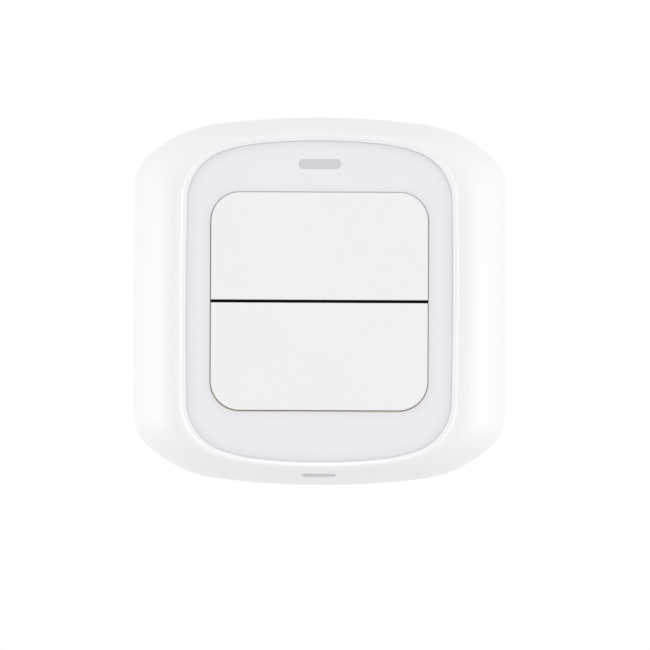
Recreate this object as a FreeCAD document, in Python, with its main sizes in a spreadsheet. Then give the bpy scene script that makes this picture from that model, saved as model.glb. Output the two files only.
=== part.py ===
import FreeCAD, Part
import math
import os
import re
import Sketcher
from FreeCAD import Placement, Rotation, Vector

# A wall robot that sits over a two-gang wall switch and pushes its rockers.
# The wall is the plane y = 0, the front faces -Y, +X is right seen from the front, +Z is up.
# "Depth" is the distance from the wall. The origin is the centre of the bracket's wall face.

sizes = {
    # Housing outline: crowned top and bottom, straight sides, three tangent arcs to each quarter.
    # "weld" is how far a rib reaches into its wall, "overcut" how far a cut reaches past the material.
    "housingWidth": 88.2,
    "housingHeight": 87.0,
    "housingCrownRadius": 190.5,
    "housingShoulderRadius": 29.4,
    "housingCornerRadius": 10.3,
    "housingShoulderAngle": 43.1,
    "housingSideAngle": 89.4,
    "housingWall": 2.2,
    "domeStart": 13.0,
    "crestShare": 0.8,
    "crestRise": 0.7,
    "rimDrop": 0.5,
    "ledgeWidth": 1.6,
    "ledgeThickness": 1.5,
    "ringWall": 1.5,
    "weld": 0.5,
    "overcut": 1.0,
    # Face panel and its key window
    "frameSide": 13.1,
    "frameTop": 6.1,
    "panelCrownRadius": 134.9,
    "panelShoulderRadius": 34.1,
    "panelCornerRadius": 12.0,
    "panelShoulderAngle": 20.1,
    "panelSideAngle": 88.9,
    "panelThickness": 1.5,
    "panelBevel": 0.25,
    "seamClearance": 0.2,
    "windowSkirtWall": 1.1,
    "windowSkirtDepth": 1.9,
    "hookWidth": 6.0,
    "hookThickness": 1.0,
    "hookSpan": 26.0,
    "hookCatch": 0.5,
    "hookCatchHeight": 1.0,
    "hookClearance": 0.2,
    # Keys
    "keyBorderSide": 5.6,
    "keyBorderTop": 11.9,
    "keySplit": 0.7,
    "keyGap": 0.3,
    "keyCornerRadius": 6.8,
    "keyThickness": 2.0,
    "keyProud": 0.25,
    "keyEdge": 0.3,
    "keySkirtWall": 1.1,
    "keySkirtDepth": 1.6,
    "keyRibWidth": 1.0,
    "keyRibHeight": 1.0,
    "hingeInset": 3.6,
    "hingeDrop": 1.6,
    "hingeSideInset": 6.05,
    "hingePinRadius": 0.75,
    "hingeClearance": 0.04,
    "hingeEarRadius": 1.4,
    "hingeEarWidth": 1.2,
    "hingeForkWall": 1.4,
    "hingeForkGap": 0.2,
    "nubRadius": 1.6,
    "nubHeight": 0.55,
    "nubPocketMargin": 0.4,
    # Status window
    "lensInset": 5.3,
    "lensWidth": 9.9,
    "lensHeight": 2.2,
    "lensClearance": 0.05,
    "lensFlange": 1.0,
    "lensFlangeThickness": 0.8,
    "lightPipeWidth": 7.9,
    "ledWidth": 3.2,
    "ledHeight": 1.6,
    "ledThickness": 0.8,
    "ledGap": 0.2,
    "ledCupRadius": 0.56,
    "ledCupDepth": 0.3,
    # Charging port
    "portWidth": 7.5,
    "portHeight": 2.5,
    "portLength": 5.0,
    "portWall": 0.3,
    "portCorner": 0.6,
    "portFloor": 0.8,
    "seatRelief": 0.01,
    "portBladeWidth": 3.8,
    "portBladeThickness": 0.6,
    "portBladeSetBack": 0.6,
    "portSetBack": 1.9,
    "portNotchMargin": 0.3,
    "plugSlotWidth": 8.3,
    "plugSlotHeight": 3.1,
    "plugSlotCorner": 1.0,
    "plugSlotRelief": 1.2,
    # Switches on the board
    "switchZ": 4.4,
    "switchBodySize": 5.2,
    "switchBodyHeight": 1.2,
    "switchCorner": 0.4,
    "plungerRadius": 1.1,
    "plungerRise": 0.5,
    "plungerDepth": 0.6,
    "plungerTravel": 0.35,
    "plungerEdge": 0.15,
    "plungerClearance": 0.05,
    "plungerGap": 0.05,
    # Main board
    "boardThickness": 1.0,
    "boardStandoff": 2.4,
    "boardWidth": 54.0,
    "boardHeight": 40.0,
    "boardCorner": 2.0,
    "tongueWidth": 18.0,
    "lensTongueSpare": 3.1,
    "portTongueInset": 1.8,
    "boardScrewInset": 3.45,
    "boardScrewZ": 14.0,
    "boardBossRadius": 2.2,
    "radioWidth": 16.0,
    "radioHeight": 12.0,
    "radioThickness": 2.1,
    "radioBaseThickness": 0.6,
    "radioCanWidth": 11.5,
    "radioCanInset": 0.6,
    "radioCanCorner": 0.5,
    "chipSize": 5.0,
    "chipThickness": 0.9,
    "chipEdge": 0.15,
    "chipInset": 15.5,
    "chipZ": 12.0,
    # Chassis
    "chassisThickness": 1.5,
    "chassisClearance": 0.35,
    "pillarX": 20.0,
    "pillarInset": 8.9,
    "pillarRadius": 3.0,
    "pillarGap": 0.05,
    "shellBossInset": 8.3,
    "shellBossZ": 15.5,
    "shellBossRadius": 2.7,
    "leadWindowInset": 16.3,
    "leadWindowWidth": 4.0,
    "leadWindowHeight": 9.0,
    "leadWindowCorner": 1.0,
    "cradleWall": 1.2,
    "cradleDepth": 6.0,
    "cradleInset": 1.0,
    "hingeForkFloor": 0.8,
    # Gearmotors
    "motorWidth": 12.0,
    "motorThickness": 10.0,
    "motorCanLength": 15.0,
    "motorCapLength": 0.8,
    "motorCapRadius": 4.8,
    "terminalSpread": 8.1,
    "terminalThickness": 0.3,
    "terminalWidth": 1.6,
    "terminalLength": 2.2,
    "gearboxLength": 9.0,
    "gearboxPlate": 0.8,
    "gearboxInset": 0.6,
    "bushingRadius": 2.2,
    "bushingHeight": 0.8,
    "motorSeatGap": 0.1,
    "outputRadius": 1.5,
    "outputFlat": 0.5,
    "outputTail": 1.0,
    "outputRoot": 0.9,
    "outputClearance": 0.02,
    "clampThickness": 1.3,
    "clampWidth": 6.6,
    "clampInset": 1.4,
    "clampFlange": 4.6,
    "clampGap": 0.08,
    "clampCorner": 1.0,
    # Gear pair
    "gearModule": 0.6,
    "pinionTeeth": 10,
    "quadrantTeeth": 40,
    "quadrantKept": 7,
    "pressureAngle": 20.0,
    "toothShiftShare": 0.35,
    "toothBacklash": 0.12,
    "toothRootShare": 0.2,
    "pinionAngle": 45.0,
    "pinionWidth": 5.0,
    "pinionGap": 0.3,
    "quadrantWidth": 4.4,
    # Pusher arms
    "gangSpacing": 26.0,
    "armReach": 22.2,
    "armWidth": 7.0,
    "armTipThickness": 2.8,
    "armUnder": 2.0,
    "armWeb": 2.2,
    "beamFlange": 0.8,
    "beamCrown": 2.4,
    "recessInset": 1.2,
    "armEndRadius": 3.4,
    "hubRadius": 3.0,
    "hubLength": 10.0,
    "hubClearance": 0.3,
    "shaftChamfer": 0.25,
    "shaftPress": 0.01,
    "pivotRadius": 1.5,
    "pivotClearance": 0.04,
    "earThickness": 3.0,
    "earGap": 0.25,
    "footInset": 3.2,
    "footRadius": 3.4,
    "footRise": 2.2,
    "footStemRadius": 1.4,
    "footHeadRadius": 1.9,
    "footHeadHeight": 0.6,
    "footHeadTaper": 0.4,
    "footHeadPlay": 0.45,
    "footTipRadius": 1.55,
    "footTipStep": 0.5,
    "footShoulderRadius": 2.8,
    "footShoulderStep": 1.2,
    "footClearance": 0.03,
    # Rear cover
    "coverThickness": 2.0,
    "coverClearance": 0.1,
    "coverLipWall": 1.2,
    "coverLipDepth": 2.4,
    "windowInner": 5.0,
    "windowPlay": 2.6,
    "windowTall": 11.0,
    "windowCorner": 1.5,
    "magnetInsetX": 13.1,
    "magnetInsetZ": 12.9,
    "magnetRadius": 4.0,
    "magnetThickness": 2.0,
    "magnetFloor": 1.0,
    "magnetCupWall": 1.0,
    "magnetCupHeight": 2.2,
    "magnetClearance": 0.05,
    # Cells
    "cellRadius": 7.1,
    "cellLength": 50.0,
    "cellInset": 10.9,
    "cellLift": 1.0,
    "cellClearance": 0.1,
    "cellNippleRadius": 2.6,
    "cellNippleHeight": 1.0,
    "cellEdge": 0.4,
    "cellGrooveDepth": 0.5,
    "cellGrooveWidth": 0.4,
    "cellGrooveLean": 0.6,
    "cellGrooveBelow": 1.8,
    "cellRibWall": 2.0,
    "saddleInnerInset": 0.6,
    "saddleOuterInset": 0.9,
    "saddleReach": 2.0,
    "cellRibZ": 21.0,
    "cellRibDepth": 3.6,
    # Wall bracket
    "bracketThickness": 3.0,
    "bracketInset": 3.0,
    "bracketEdge": 0.4,
    "bracketTopRail": 10.5,
    "bracketOpeningCorner": 4.0,
    "seatGap": 0.1,
    "slotSpacing": 60.3,
    "slotRadius": 2.1,
    "slotTravel": 2.0,
    "slotWall": 1.55,
    "discRadius": 5.0,
    "discThickness": 1.0,
    "padWidth": 8.0,
    "padHeight": 13.0,
    "padThickness": 1.0,
    "padCorner": 1.0,
    "padSeatPlay": 0.2,
    "padInset": 10.9,
    "padZ": 14.5,
    "pegInset": 8.3,
    "pegRadius": 2.0,
    "pegLength": 3.2,
    "pegClearance": 0.05,
    "pegChamfer": 0.6,
    # Screws
    "screwRadius": 0.95,
    "screwHeadRadius": 1.8,
    "screwHeadHeight": 1.3,
    "screwHeadEdge": 0.35,
    "screwRecessLong": 2.0,
    "screwRecessWide": 0.5,
    "screwRecessDepth": 0.8,
    "screwHeadSink": 0.05,
    "screwPlay": 0.15,
    "pilotSpare": 0.3,
    "coverScrewLength": 8.0,
    "chassisScrewLength": 5.0,
    "boardScrewLength": 3.4,
    "clampScrewLength": 2.8,
}

# Places that follow from the sizes: the stack from the wall to the crest, and the shared centres
places = {
    "panelWidth": "housingWidth - 2 * frameSide",
    "panelHeight": "housingHeight - 2 * frameTop",
    "keyWidth": "panelWidth - 2 * keyBorderSide",
    "keySpan": "panelHeight - 2 * keyBorderTop",
    "hingeSpan": "keyWidth - 2 * hingeSideInset",
    "boardScrewX": "keyWidth / 2 - boardScrewInset",
    "lensZ": "panelHeight / 2 - lensInset",
    "lensTongueReach": "lensZ + lensTongueSpare",
    "pillarZ": "housingHeight / 2 - pillarInset",
    "shellBossX": "housingWidth / 2 - shellBossInset",
    "leadWindowX": "housingWidth / 2 - leadWindowInset",
    "footX": "armReach - footInset",
    "windowOuter": "footX + footRadius + windowPlay",
    "magnetX": "housingWidth / 2 - magnetInsetX",
    "magnetZ": "housingHeight / 2 - magnetInsetZ",
    "cellX": "housingWidth / 2 - cellInset",
    "chipX": "panelWidth / 2 - chipInset",
    "padX": "housingWidth / 2 - padInset",
    "pegZ": "housingHeight / 2 - pegInset",
    "bracketOpeningWidth": "slotSpacing - slotTravel - 2 * slotRadius - 2 * slotWall",
    "bracketOpeningHeight": "housingHeight - 2 * bracketInset - 2 * bracketTopRail",
    "coverBack": "bracketThickness + seatGap",
    "coverInner": "coverBack + coverThickness",
    "pivotDepth": "coverInner + hubClearance + hubRadius",
    "gearReach": "gearModule * (quadrantTeeth + pinionTeeth) / 2",
    "pinionX": "gearReach * sin(pinionAngle)",
    "pinionDepth": "pivotDepth + gearReach * cos(pinionAngle)",
    "motorBack": "pinionDepth - motorThickness / 2",
    "motorFront": "pinionDepth + motorThickness / 2",
    "chassisBack": "motorFront + motorSeatGap",
    "chassisFront": "chassisBack + chassisThickness",
    "boardBack": "chassisFront + boardStandoff",
    "boardFront": "boardBack + boardThickness",
    "plungerTop": "boardFront + switchBodyHeight + plungerRise",
    "keyBack": "plungerTop + plungerGap + nubHeight",
    "keyFront": "keyBack + keyThickness",
    "panelFront": "keyFront - keyProud",
    "panelBack": "panelFront - panelThickness",
    "ledgeBack": "panelBack - ledgeThickness",
    "crestDepth": "keyFront + crestRise",
    "gangZ": "gangSpacing / 2",
    "hingeZ": "keySpan / 2 - hingeInset",
    "hingeDepth": "keyBack - hingeDrop",
    "windowWidth": "keyWidth + 2 * keyGap",
    "windowHeight": "keySpan + 2 * keyGap",
    "pinionBottom": "gangZ - pinionWidth / 2",
    "gearboxFace": "pinionBottom - pinionGap - bushingHeight",
    "gearboxRear": "gearboxFace - gearboxLength",
    "motorRear": "gearboxRear - motorCanLength",
    "earStart": "gangZ - hubLength / 2 - earGap - earThickness",
    "pivotLength": "hubLength + 2 * earGap + 2 * earThickness",
    "cellDepth": "coverInner + cellLift + cellRadius",
    "clampStart": "gearboxRear + clampInset",
    "clampHoleX": "motorWidth / 2 + clampGap + clampThickness + clampFlange / 2",
    "portBottom": "housingHeight / 2 - housingWall - portSetBack",
    "portTongueReach": "portBottom - portTongueInset",
    "portDepth": "boardFront + portHeight / 2",
    "footTipDepth": "pivotDepth - armUnder - footRise",
    "headSeat": "coverBack + screwHeadHeight + screwHeadSink",
}

doc = FreeCAD.newDocument("ButtonPusher")
sizeSheet = doc.addObject("Spreadsheet::Sheet", "Sizes")
placeSheet = doc.addObject("Spreadsheet::Sheet", "Places")


def fillSheet(sheet, rows):
    for line, (name, content) in enumerate(rows, start=1):
        sheet.set("A%d" % line, name)
        sheet.set("B%d" % line, content)
        sheet.setAlias("B%d" % line, name)


def inSheets(text):
    # "keyGap + 1" becomes "Sizes.keyGap + 1"
    def addSheet(word):
        if word.group(0) in sizes:
            return "Sizes." + word.group(0)
        if word.group(0) in places:
            return "Places." + word.group(0)
        return word.group(0)
    return re.sub(r"[A-Za-z]\w*", addSheet, text)


fillSheet(sizeSheet, [(name, str(number)) for name, number in sizes.items()])
fillSheet(placeSheet, [(name, "=" + inSheets(rule).replace("Places.", "")) for name, rule in places.items()])
doc.recompute()


def value(text):
    return float(sizeSheet.evalExpression(inSheets(text)))


def bind(item, **rules):
    for name, text in rules.items():
        item.setExpression(name.replace("_", "."), inSheets(text))


def signed(text, side):
    return text if side > 0 else "-(%s)" % text


# Bodies, origin planes and sketches

def newBody(label, base=None):
    body = doc.addObject("PartDesign::Body", label)
    body.Label = label
    if base is not None:
        body.BaseFeature = base
    return body


def attach(item, body, role, x="0", y="0", lift="0"):
    # On XZ_Plane the lift is a depth, on XY_Plane it is a height, on YZ_Plane it runs along X
    plane = [part for part in body.Origin.OriginFeatures if part.Role == role][0]
    item.AttachmentSupport = [(plane, "")]
    item.MapMode = "FlatFace"
    bind(item, AttachmentOffset_Base_x=x, AttachmentOffset_Base_y=y, AttachmentOffset_Base_z=lift)


def newSketch(body, name, role="XZ_Plane", lift="0"):
    sketch = body.newObject("Sketcher::SketchObject", name)
    attach(sketch, body, role, lift=lift)
    return sketch


def dimension(sketch, kind, text, *where):
    index = sketch.addConstraint(Sketcher.Constraint(kind, *where, value(text)))
    sketch.setExpression("Constraints[%d]" % index, inSheets(text))


def hold(sketch, element, point, x, y):
    dimension(sketch, "DistanceX", x, -1, 1, element, point)
    dimension(sketch, "DistanceY", y, -1, 1, element, point)


def polygon(sketch, points):
    corners = [Vector(value(x), value(y), 0) for x, y in points]
    first = sketch.GeometryCount
    count = len(points)
    for step in range(count):
        sketch.addGeometry(Part.LineSegment(corners[step], corners[(step + 1) % count]), False)
    for step in range(count):
        after = first + (step + 1) % count
        sketch.addConstraint(Sketcher.Constraint("Coincident", first + step, 2, after, 1))
    for step, (x, y) in enumerate(points):
        hold(sketch, first + step, 1, x, y)


def circle(sketch, x, y, radius):
    centre = Vector(value(x), value(y), 0)
    element = sketch.addGeometry(Part.Circle(centre, Vector(0, 0, 1), value(radius)), False)
    hold(sketch, element, 3, x, y)
    dimension(sketch, "Radius", radius, element)


def arcOf(x, y, radius, start, end):
    ring = Part.Circle(Vector(x, y, 0), Vector(0, 0, 1), radius)
    return Part.ArcOfCircle(ring, math.radians(start), math.radians(end))


def roundedBox(sketch, x, y, width, height, radius):
    cx, cy, wide, tall, r = (value(text) for text in (x, y, width, height, radius))
    left, right, low, high = cx - wide / 2, cx + wide / 2, cy - tall / 2, cy + tall / 2
    n = sketch.GeometryCount
    sketch.addGeometry([
        Part.LineSegment(Vector(left + r, low, 0), Vector(right - r, low, 0)),
        arcOf(right - r, low + r, r, 270, 360),
        Part.LineSegment(Vector(right, low + r, 0), Vector(right, high - r, 0)),
        arcOf(right - r, high - r, r, 0, 90),
        Part.LineSegment(Vector(right - r, high, 0), Vector(left + r, high, 0)),
        arcOf(left + r, high - r, r, 90, 180),
        Part.LineSegment(Vector(left, high - r, 0), Vector(left, low + r, 0)),
        arcOf(left + r, low + r, r, 180, 270)], False)
    for step in range(8):
        sketch.addConstraint(Sketcher.Constraint("Tangent", n + step, 2, n + (step + 1) % 8, 1))
    for step, kind in ((0, "Horizontal"), (2, "Vertical"), (4, "Horizontal"), (6, "Vertical")):
        sketch.addConstraint(Sketcher.Constraint(kind, n + step))
    for step in (3, 5, 7):
        sketch.addConstraint(Sketcher.Constraint("Equal", n + 1, n + step))
    dimension(sketch, "Radius", radius, n + 1)
    reachX = "(%s) / 2 - (%s)" % (width, radius)
    reachY = "(%s) / 2 - (%s)" % (height, radius)
    hold(sketch, n + 1, 3, "%s + %s" % (x, reachX), "%s - (%s)" % (y, reachY))
    hold(sketch, n + 5, 3, "%s - (%s)" % (x, reachX), "%s + %s" % (y, reachY))


def slot(sketch, x, y, travel, radius):
    # An obround along the first axis: its two arc centres are "travel" apart
    cx, cy, half, r = value(x), value(y), value(travel) / 2, value(radius)
    n = sketch.GeometryCount
    for side, start in ((-1, 90), (1, 270)):
        end = Vector(cx - side * half, cy + side * r, 0)
        sketch.addGeometry(arcOf(cx + side * half, cy, r, start, start + 180), False)
        sketch.addGeometry(Part.LineSegment(Vector(cx + side * half, cy + side * r, 0), end), False)
    for step in range(4):
        sketch.addConstraint(Sketcher.Constraint("Tangent", n + step, 2, n + (step + 1) % 4, 1))
    dimension(sketch, "Radius", radius, n)
    sketch.addConstraint(Sketcher.Constraint("Equal", n, n + 2))
    hold(sketch, n, 3, "%s - (%s) / 2" % (x, travel), y)
    hold(sketch, n + 2, 3, "%s + (%s) / 2" % (x, travel), y)


# Features: "forward" is away from the wall on the sketches that lie parallel to it

def pad(body, sketch, name, length, forward=True):
    feature = body.newObject("PartDesign::Pad", name)
    feature.Profile = sketch
    feature.Reversed = not forward
    bind(feature, Length=length)
    return feature


def pocket(body, sketch, name, length=None, forward=True):
    feature = body.newObject("PartDesign::Pocket", name)
    feature.Profile = sketch
    feature.Reversed = forward
    if length is None:
        feature.Type = "ThroughAll"
    else:
        bind(feature, Length=length)
    return feature


def block(body, name, x, y, lift, along, across, height, role="XZ_Plane", cut=False):
    kind = "PartDesign::SubtractiveBox" if cut else "PartDesign::AdditiveBox"
    feature = body.newObject(kind, name)
    attach(feature, body, role, x, y, lift)
    bind(feature, Length=along, Width=across, Height=height)
    return feature


def rod(body, name, x, y, lift, radius, height, role="XZ_Plane", cut=False):
    kind = "PartDesign::SubtractiveCylinder" if cut else "PartDesign::AdditiveCylinder"
    feature = body.newObject(kind, name)
    attach(feature, body, role, x, y, lift)
    bind(feature, Radius=radius, Height=height)
    return feature


def soften(body, kind, name, size, test):
    # A Fillet or Chamfer on the edges that pass the test
    doc.recompute()
    last = body.Tip
    chosen = ["Edge%d" % (n + 1) for n, edge in enumerate(last.Shape.Edges) if test(edge)]
    feature = body.newObject("PartDesign::" + kind, name)
    feature.Base = (last, chosen)
    if kind == "Fillet":
        bind(feature, Radius=size)
    else:
        bind(feature, Size=size)
    return feature


def atDepth(edge, depth):
    box = edge.BoundBox
    return abs(box.YMin + depth) < 1e-4 and abs(box.YMax + depth) < 1e-4


def alongDepth(edge):
    box = edge.BoundBox
    return box.XLength < 1e-4 and box.ZLength < 1e-4 and box.YLength > 1e-3


def onGang(item, gang):
    # The lower gang is the upper one turned half round about the axis that points at the viewer
    angle = 0 if gang == "upper" else 180
    item.Placement = Placement(Vector(0, 0, 0), Rotation(Vector(0, 1, 0), angle))


# Rotations that turn a cylinder's axis along X, away from the wall, or leave it upright
alongX = Rotation(Vector(0, 0, 1), Vector(1, 0, 0))
forwards = Rotation(Vector(0, 0, 1), Vector(0, -1, 0))
upwards = Rotation()


# The crowned outline of the housing and of the panel, and what lies between them

def outlineSizes(name, grow="0"):
    halves = [value("%sWidth / 2 + %s" % (name, grow)), value("%sHeight / 2 + %s" % (name, grow))]
    radii = [value("%s%sRadius + %s" % (name, part, grow)) for part in ("Crown", "Shoulder", "Corner")]
    return halves + radii + [value(name + "ShoulderAngle"), value(name + "SideAngle")]


def between(outer, inner, share):
    return [a + (b - a) * share for a, b in zip(outer, inner)]


def quarterCentres(outline):
    # The crown angle closes the quarter: the three arcs and the side's shallow one reach the half width
    halfWidth, halfHeight, crown, shoulder, corner = outline[:5]
    turn, side = (math.radians(angle) for angle in outline[5:])
    slope = math.tan((math.pi / 2 - side) / 2)
    wide = halfWidth - (shoulder - corner) * math.sin(turn) - corner * math.sin(side)
    tall = halfHeight - crown + (shoulder - corner) * math.cos(turn) + corner * math.cos(side)
    reach = (wide - slope * tall) / ((crown - shoulder) * math.hypot(1, slope))
    crownTurn = math.asin(reach) - math.atan(slope)
    first = (0.0, halfHeight - crown)
    step = crown - shoulder
    second = (step * math.sin(crownTurn), first[1] + step * math.cos(crownTurn))
    step = shoulder - corner
    third = (second[0] + step * math.sin(turn), second[1] + step * math.cos(turn))
    return (first, crown, crownTurn), (second, shoulder, turn), (third, corner, side)


def outlineWire(outline, depth):
    # One quarter as three arcs from the middle of the crown to the side, mirrored four times,
    # with one shallow arc along each side
    quarter = []
    start = 0.0
    for (cx, cz), radius, end in quarterCentres(outline):
        turns = (start, (start + end) / 2, end)
        quarter.append([(cx + radius * math.sin(turn), cz + radius * math.cos(turn)) for turn in turns])
        start = end
    edges = []
    for sideX, sideZ in ((1, 1), (1, -1), (-1, -1), (-1, 1)):
        outwards = sideX * sideZ > 0
        for points in quarter if outwards else reversed(quarter):
            run = [Vector(sideX * x, -depth, sideZ * z) for x, z in points]
            edges.append(Part.Arc(*(run if outwards else reversed(run))).toShape())
        if outwards:
            x, z = quarter[-1][-1]
            middle = Vector(sideX * outline[0], -depth, 0)
            end = Vector(sideX * x, -depth, -sideZ * z)
            edges.append(Part.Arc(Vector(sideX * x, -depth, sideZ * z), middle, end).toShape())
    return Part.Wire(edges)


def outlineObject(name, outline, depth):
    item = doc.addObject("Part::Feature", name)
    item.Shape = outlineWire(outline, depth)
    return item


def prism(name, outline, start, length):
    # A solid on the outline, from the depth "start" forward
    item = doc.addObject("Part::Extrusion", name)
    item.Base = outlineObject(name + "Outline", outline, value(start))
    item.DirMode = "Custom"
    item.Dir = Vector(0, -1, 0)
    item.Solid = True
    bind(item, LengthFwd=length)
    return item


def loft(name, sections):
    item = doc.addObject("Part::Loft", name)
    item.Sections = [outlineObject("%sSection%d" % (name, n), outline, depth)
                     for n, (outline, depth) in enumerate(sections)]
    item.Solid = True
    return item


def boxSolid(name, x, depth, z, wide, deep, tall):
    # From its left, lower corner nearest the wall
    item = doc.addObject("Part::Box", name)
    bind(item, Length=wide, Width=deep, Height=tall, Placement_Base_x=x,
         Placement_Base_y="-(%s) - (%s)" % (depth, deep), Placement_Base_z=z)
    return item


def rodSolid(name, direction, x, depth, z, radius, length):
    # From its end nearest the wall, the left or the floor, along one of the three directions
    item = doc.addObject("Part::Cylinder", name)
    item.Placement = Placement(Vector(0, 0, 0), direction)
    bind(item, Radius=radius, Height=length, Placement_Base_x=x, Placement_Base_y="-(%s)" % depth,
         Placement_Base_z=z)
    return item


def fuse(name, shapes):
    item = doc.addObject("Part::MultiFuse", name)
    item.Shapes = shapes
    return item


def cutAway(label, base, tools):
    item = combine("Cut", label, base, fuse(label + "Cuts", tools))
    item.Label = label
    return item


def combine(kind, name, base, tool):
    item = doc.addObject("Part::" + kind, name)
    item.Base = base
    item.Tool = tool
    return item


housing = outlineSizes("housing")
seam = outlineSizes("panel", "seamClearance")


def shrink(outline, amount):
    return [size - amount for size in outline[:5]] + outline[5:]


def domeShare(turn):
    # Share of the way from the housing outline to the seam, at an angle round the elliptic dome
    return value("crestShare") * (1 - math.cos(math.radians(turn)))


def innerOutline(depth):
    # The cavity's outline at a depth
    rise = (depth - value("domeStart")) / (value("crestDepth - housingWall") - value("domeStart"))
    turn = math.degrees(math.asin(max(0.0, min(1.0, rise))))
    return shrink(between(housing, seam, domeShare(turn)), value("housingWall"))


def buildOuterShell():
    # Straight side walls, an elliptic dome up to the crest, then a small roll down to the seam
    start = value("domeStart")
    rise = value("crestDepth") - start
    sections = []
    for turn in (0, 18, 36, 54, 72, 90):
        outline = between(housing, seam, domeShare(turn))
        sections.append((outline, start + rise * math.sin(math.radians(turn))))
    for turn in (30, 60, 90):
        rest = (1 - value("crestShare")) * math.sin(math.radians(turn))
        outline = between(housing, seam, value("crestShare") + rest)
        drop = value("rimDrop") * (1 - math.cos(math.radians(turn)))
        sections.append((outline, value("crestDepth") - drop))
    walls = prism("shellWalls", housing, "coverBack", "domeStart - coverBack")
    outside = combine("Fuse", "shellOutside", walls, loft("shellDome", sections))

    wall = value("housingWall")
    innerRise = rise - wall
    hollow = []
    for turn in (0, 30, 60, 90):
        outline = shrink(between(housing, seam, domeShare(turn)), wall)
        hollow.append((outline, start + innerRise * math.sin(math.radians(turn))))
    space = combine("Fuse", "shellSpace",
                    prism("shellSpaceWalls", shrink(housing, wall), "coverBack - overcut",
                          "domeStart - coverBack + overcut"),
                    loft("shellSpaceDome", hollow))
    # The ledge that the panel rests on stays out of the hollow, with a short ring round it
    ring = prism("shellRing", shrink(seam, -value("ringWall")), "ledgeBack", "crestDepth - ledgeBack")
    hollowed = combine("Cut", "shellHollowed", outside, combine("Cut", "shellSpaceInRing", space, ring))
    seat = prism("panelSeat", seam, "panelBack", "crestDepth - panelBack + overcut")
    opening = prism("ledgeOpening", shrink(seam, value("ledgeWidth")), "ledgeBack - overcut",
                    "ledgeThickness + 2 * overcut")
    seated = combine("Cut", "shellSeated", hollowed, seat)
    opened = combine("Cut", "shellOpened", seated, opening)

    body = newBody("outer_shell", opened)
    bosses = newSketch(body, "shellBosses", lift="chassisFront")
    for side in (1, -1):
        for level in (1, -1):
            circle(bosses, signed("shellBossX", side), signed("shellBossZ", level), "shellBossRadius")
    pad(body, bosses, "shellBossPads", "ledgeBack + weld - chassisFront")
    pilots = newSketch(body, "shellPilots", lift="chassisFront")
    for side in (1, -1):
        for level in (1, -1):
            circle(pilots, signed("shellBossX", side), signed("shellBossZ", level), "screwRadius")
    pocket(body, pilots, "shellPilotHoles", "chassisScrewLength - chassisThickness + pilotSpare")
    # The opening for the charging plug, through the bottom flank, and its notch in the ledge
    plugSlot = newSketch(body, "plugSlot", "XY_Plane", "-(housingHeight / 2 + overcut)")
    roundedBox(plugSlot, "0", "-portDepth", "plugSlotWidth", "plugSlotHeight", "plugSlotCorner")
    pocket(body, plugSlot, "plugSlotCut", "housingHeight / 2 + overcut - portBottom + plugSlotRelief")
    block(body, "portNotch", "-plugSlotWidth / 2", "-portBottom - portNotchMargin", "ledgeBack - weld",
          "plugSlotWidth", "portLength + 2 * portNotchMargin", "ledgeThickness + weld", cut=True)
    return body


def buildFacePanel():
    blank = prism("panelBlank", outlineSizes("panel"), "panelBack", "panelThickness")
    body = newBody("face_panel", blank)
    soften(body, "Chamfer", "panelEdge", "panelBevel", lambda edge: atDepth(edge, value("panelFront")))
    skirt = newSketch(body, "windowSkirt", lift="panelBack")
    roundedBox(skirt, "0", "0", "windowWidth + 2 * windowSkirtWall", "windowHeight + 2 * windowSkirtWall",
               "keyCornerRadius + keyGap + windowSkirtWall")
    pad(body, skirt, "windowSkirtPad", "windowSkirtDepth", forward=False)
    window = newSketch(body, "keyWindow", lift="panelFront + overcut")
    roundedBox(window, "0", "0", "windowWidth", "windowHeight", "keyCornerRadius + keyGap")
    pocket(body, window, "keyWindowCut", forward=False)
    lens = newSketch(body, "lensHole", lift="panelFront + overcut")
    slot(lens, "0", "lensZ", "lensWidth - lensHeight", "lensHeight / 2 + lensClearance")
    pocket(body, lens, "lensHoleCut", forward=False)
    # Snap hooks that catch behind the ledge of the shell
    edge = "panelWidth / 2 + seamClearance - ledgeWidth"
    for side in (1, -1):
        for level in (1, -1):
            height = signed("hookSpan / 2", level) + " - hookWidth / 2"
            name = "hook%s%s" % ("Right" if side > 0 else "Left", "Top" if level > 0 else "Bottom")
            stem = edge + " - hookClearance - hookThickness"
            x = stem if side > 0 else "-(%s) - hookThickness" % stem
            depth = "ledgeThickness + hookClearance + hookCatchHeight"
            block(body, name, x, height, "panelBack - (%s)" % depth, "hookThickness", "hookWidth", depth)
            reach = "hookThickness + hookClearance + hookCatch"
            x = stem if side > 0 else "-(%s) - (%s)" % (stem, reach)
            block(body, name + "Catch", x, height, "panelBack - (%s)" % depth, reach, "hookWidth",
                  "hookCatchHeight")
    return body


def buildStatusLens():
    body = newBody("status_lens")
    face = newSketch(body, "lensFace", lift="panelBack")
    slot(face, "0", "lensZ", "lensWidth - lensHeight", "lensHeight / 2")
    pad(body, face, "lensFacePad", "panelThickness")
    flange = newSketch(body, "lensFlange", lift="panelBack")
    slot(flange, "0", "lensZ", "lensWidth - lensHeight", "lensHeight / 2 + lensFlange")
    pad(body, flange, "lensFlangePad", "lensFlangeThickness", forward=False)
    pipe = newSketch(body, "lightPipe", lift="panelBack")
    slot(pipe, "0", "lensZ", "lightPipeWidth - lensHeight", "lensHeight / 2")
    pad(body, pipe, "lightPipePad", "panelBack - boardFront - ledThickness - ledGap", forward=False)
    return body


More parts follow.
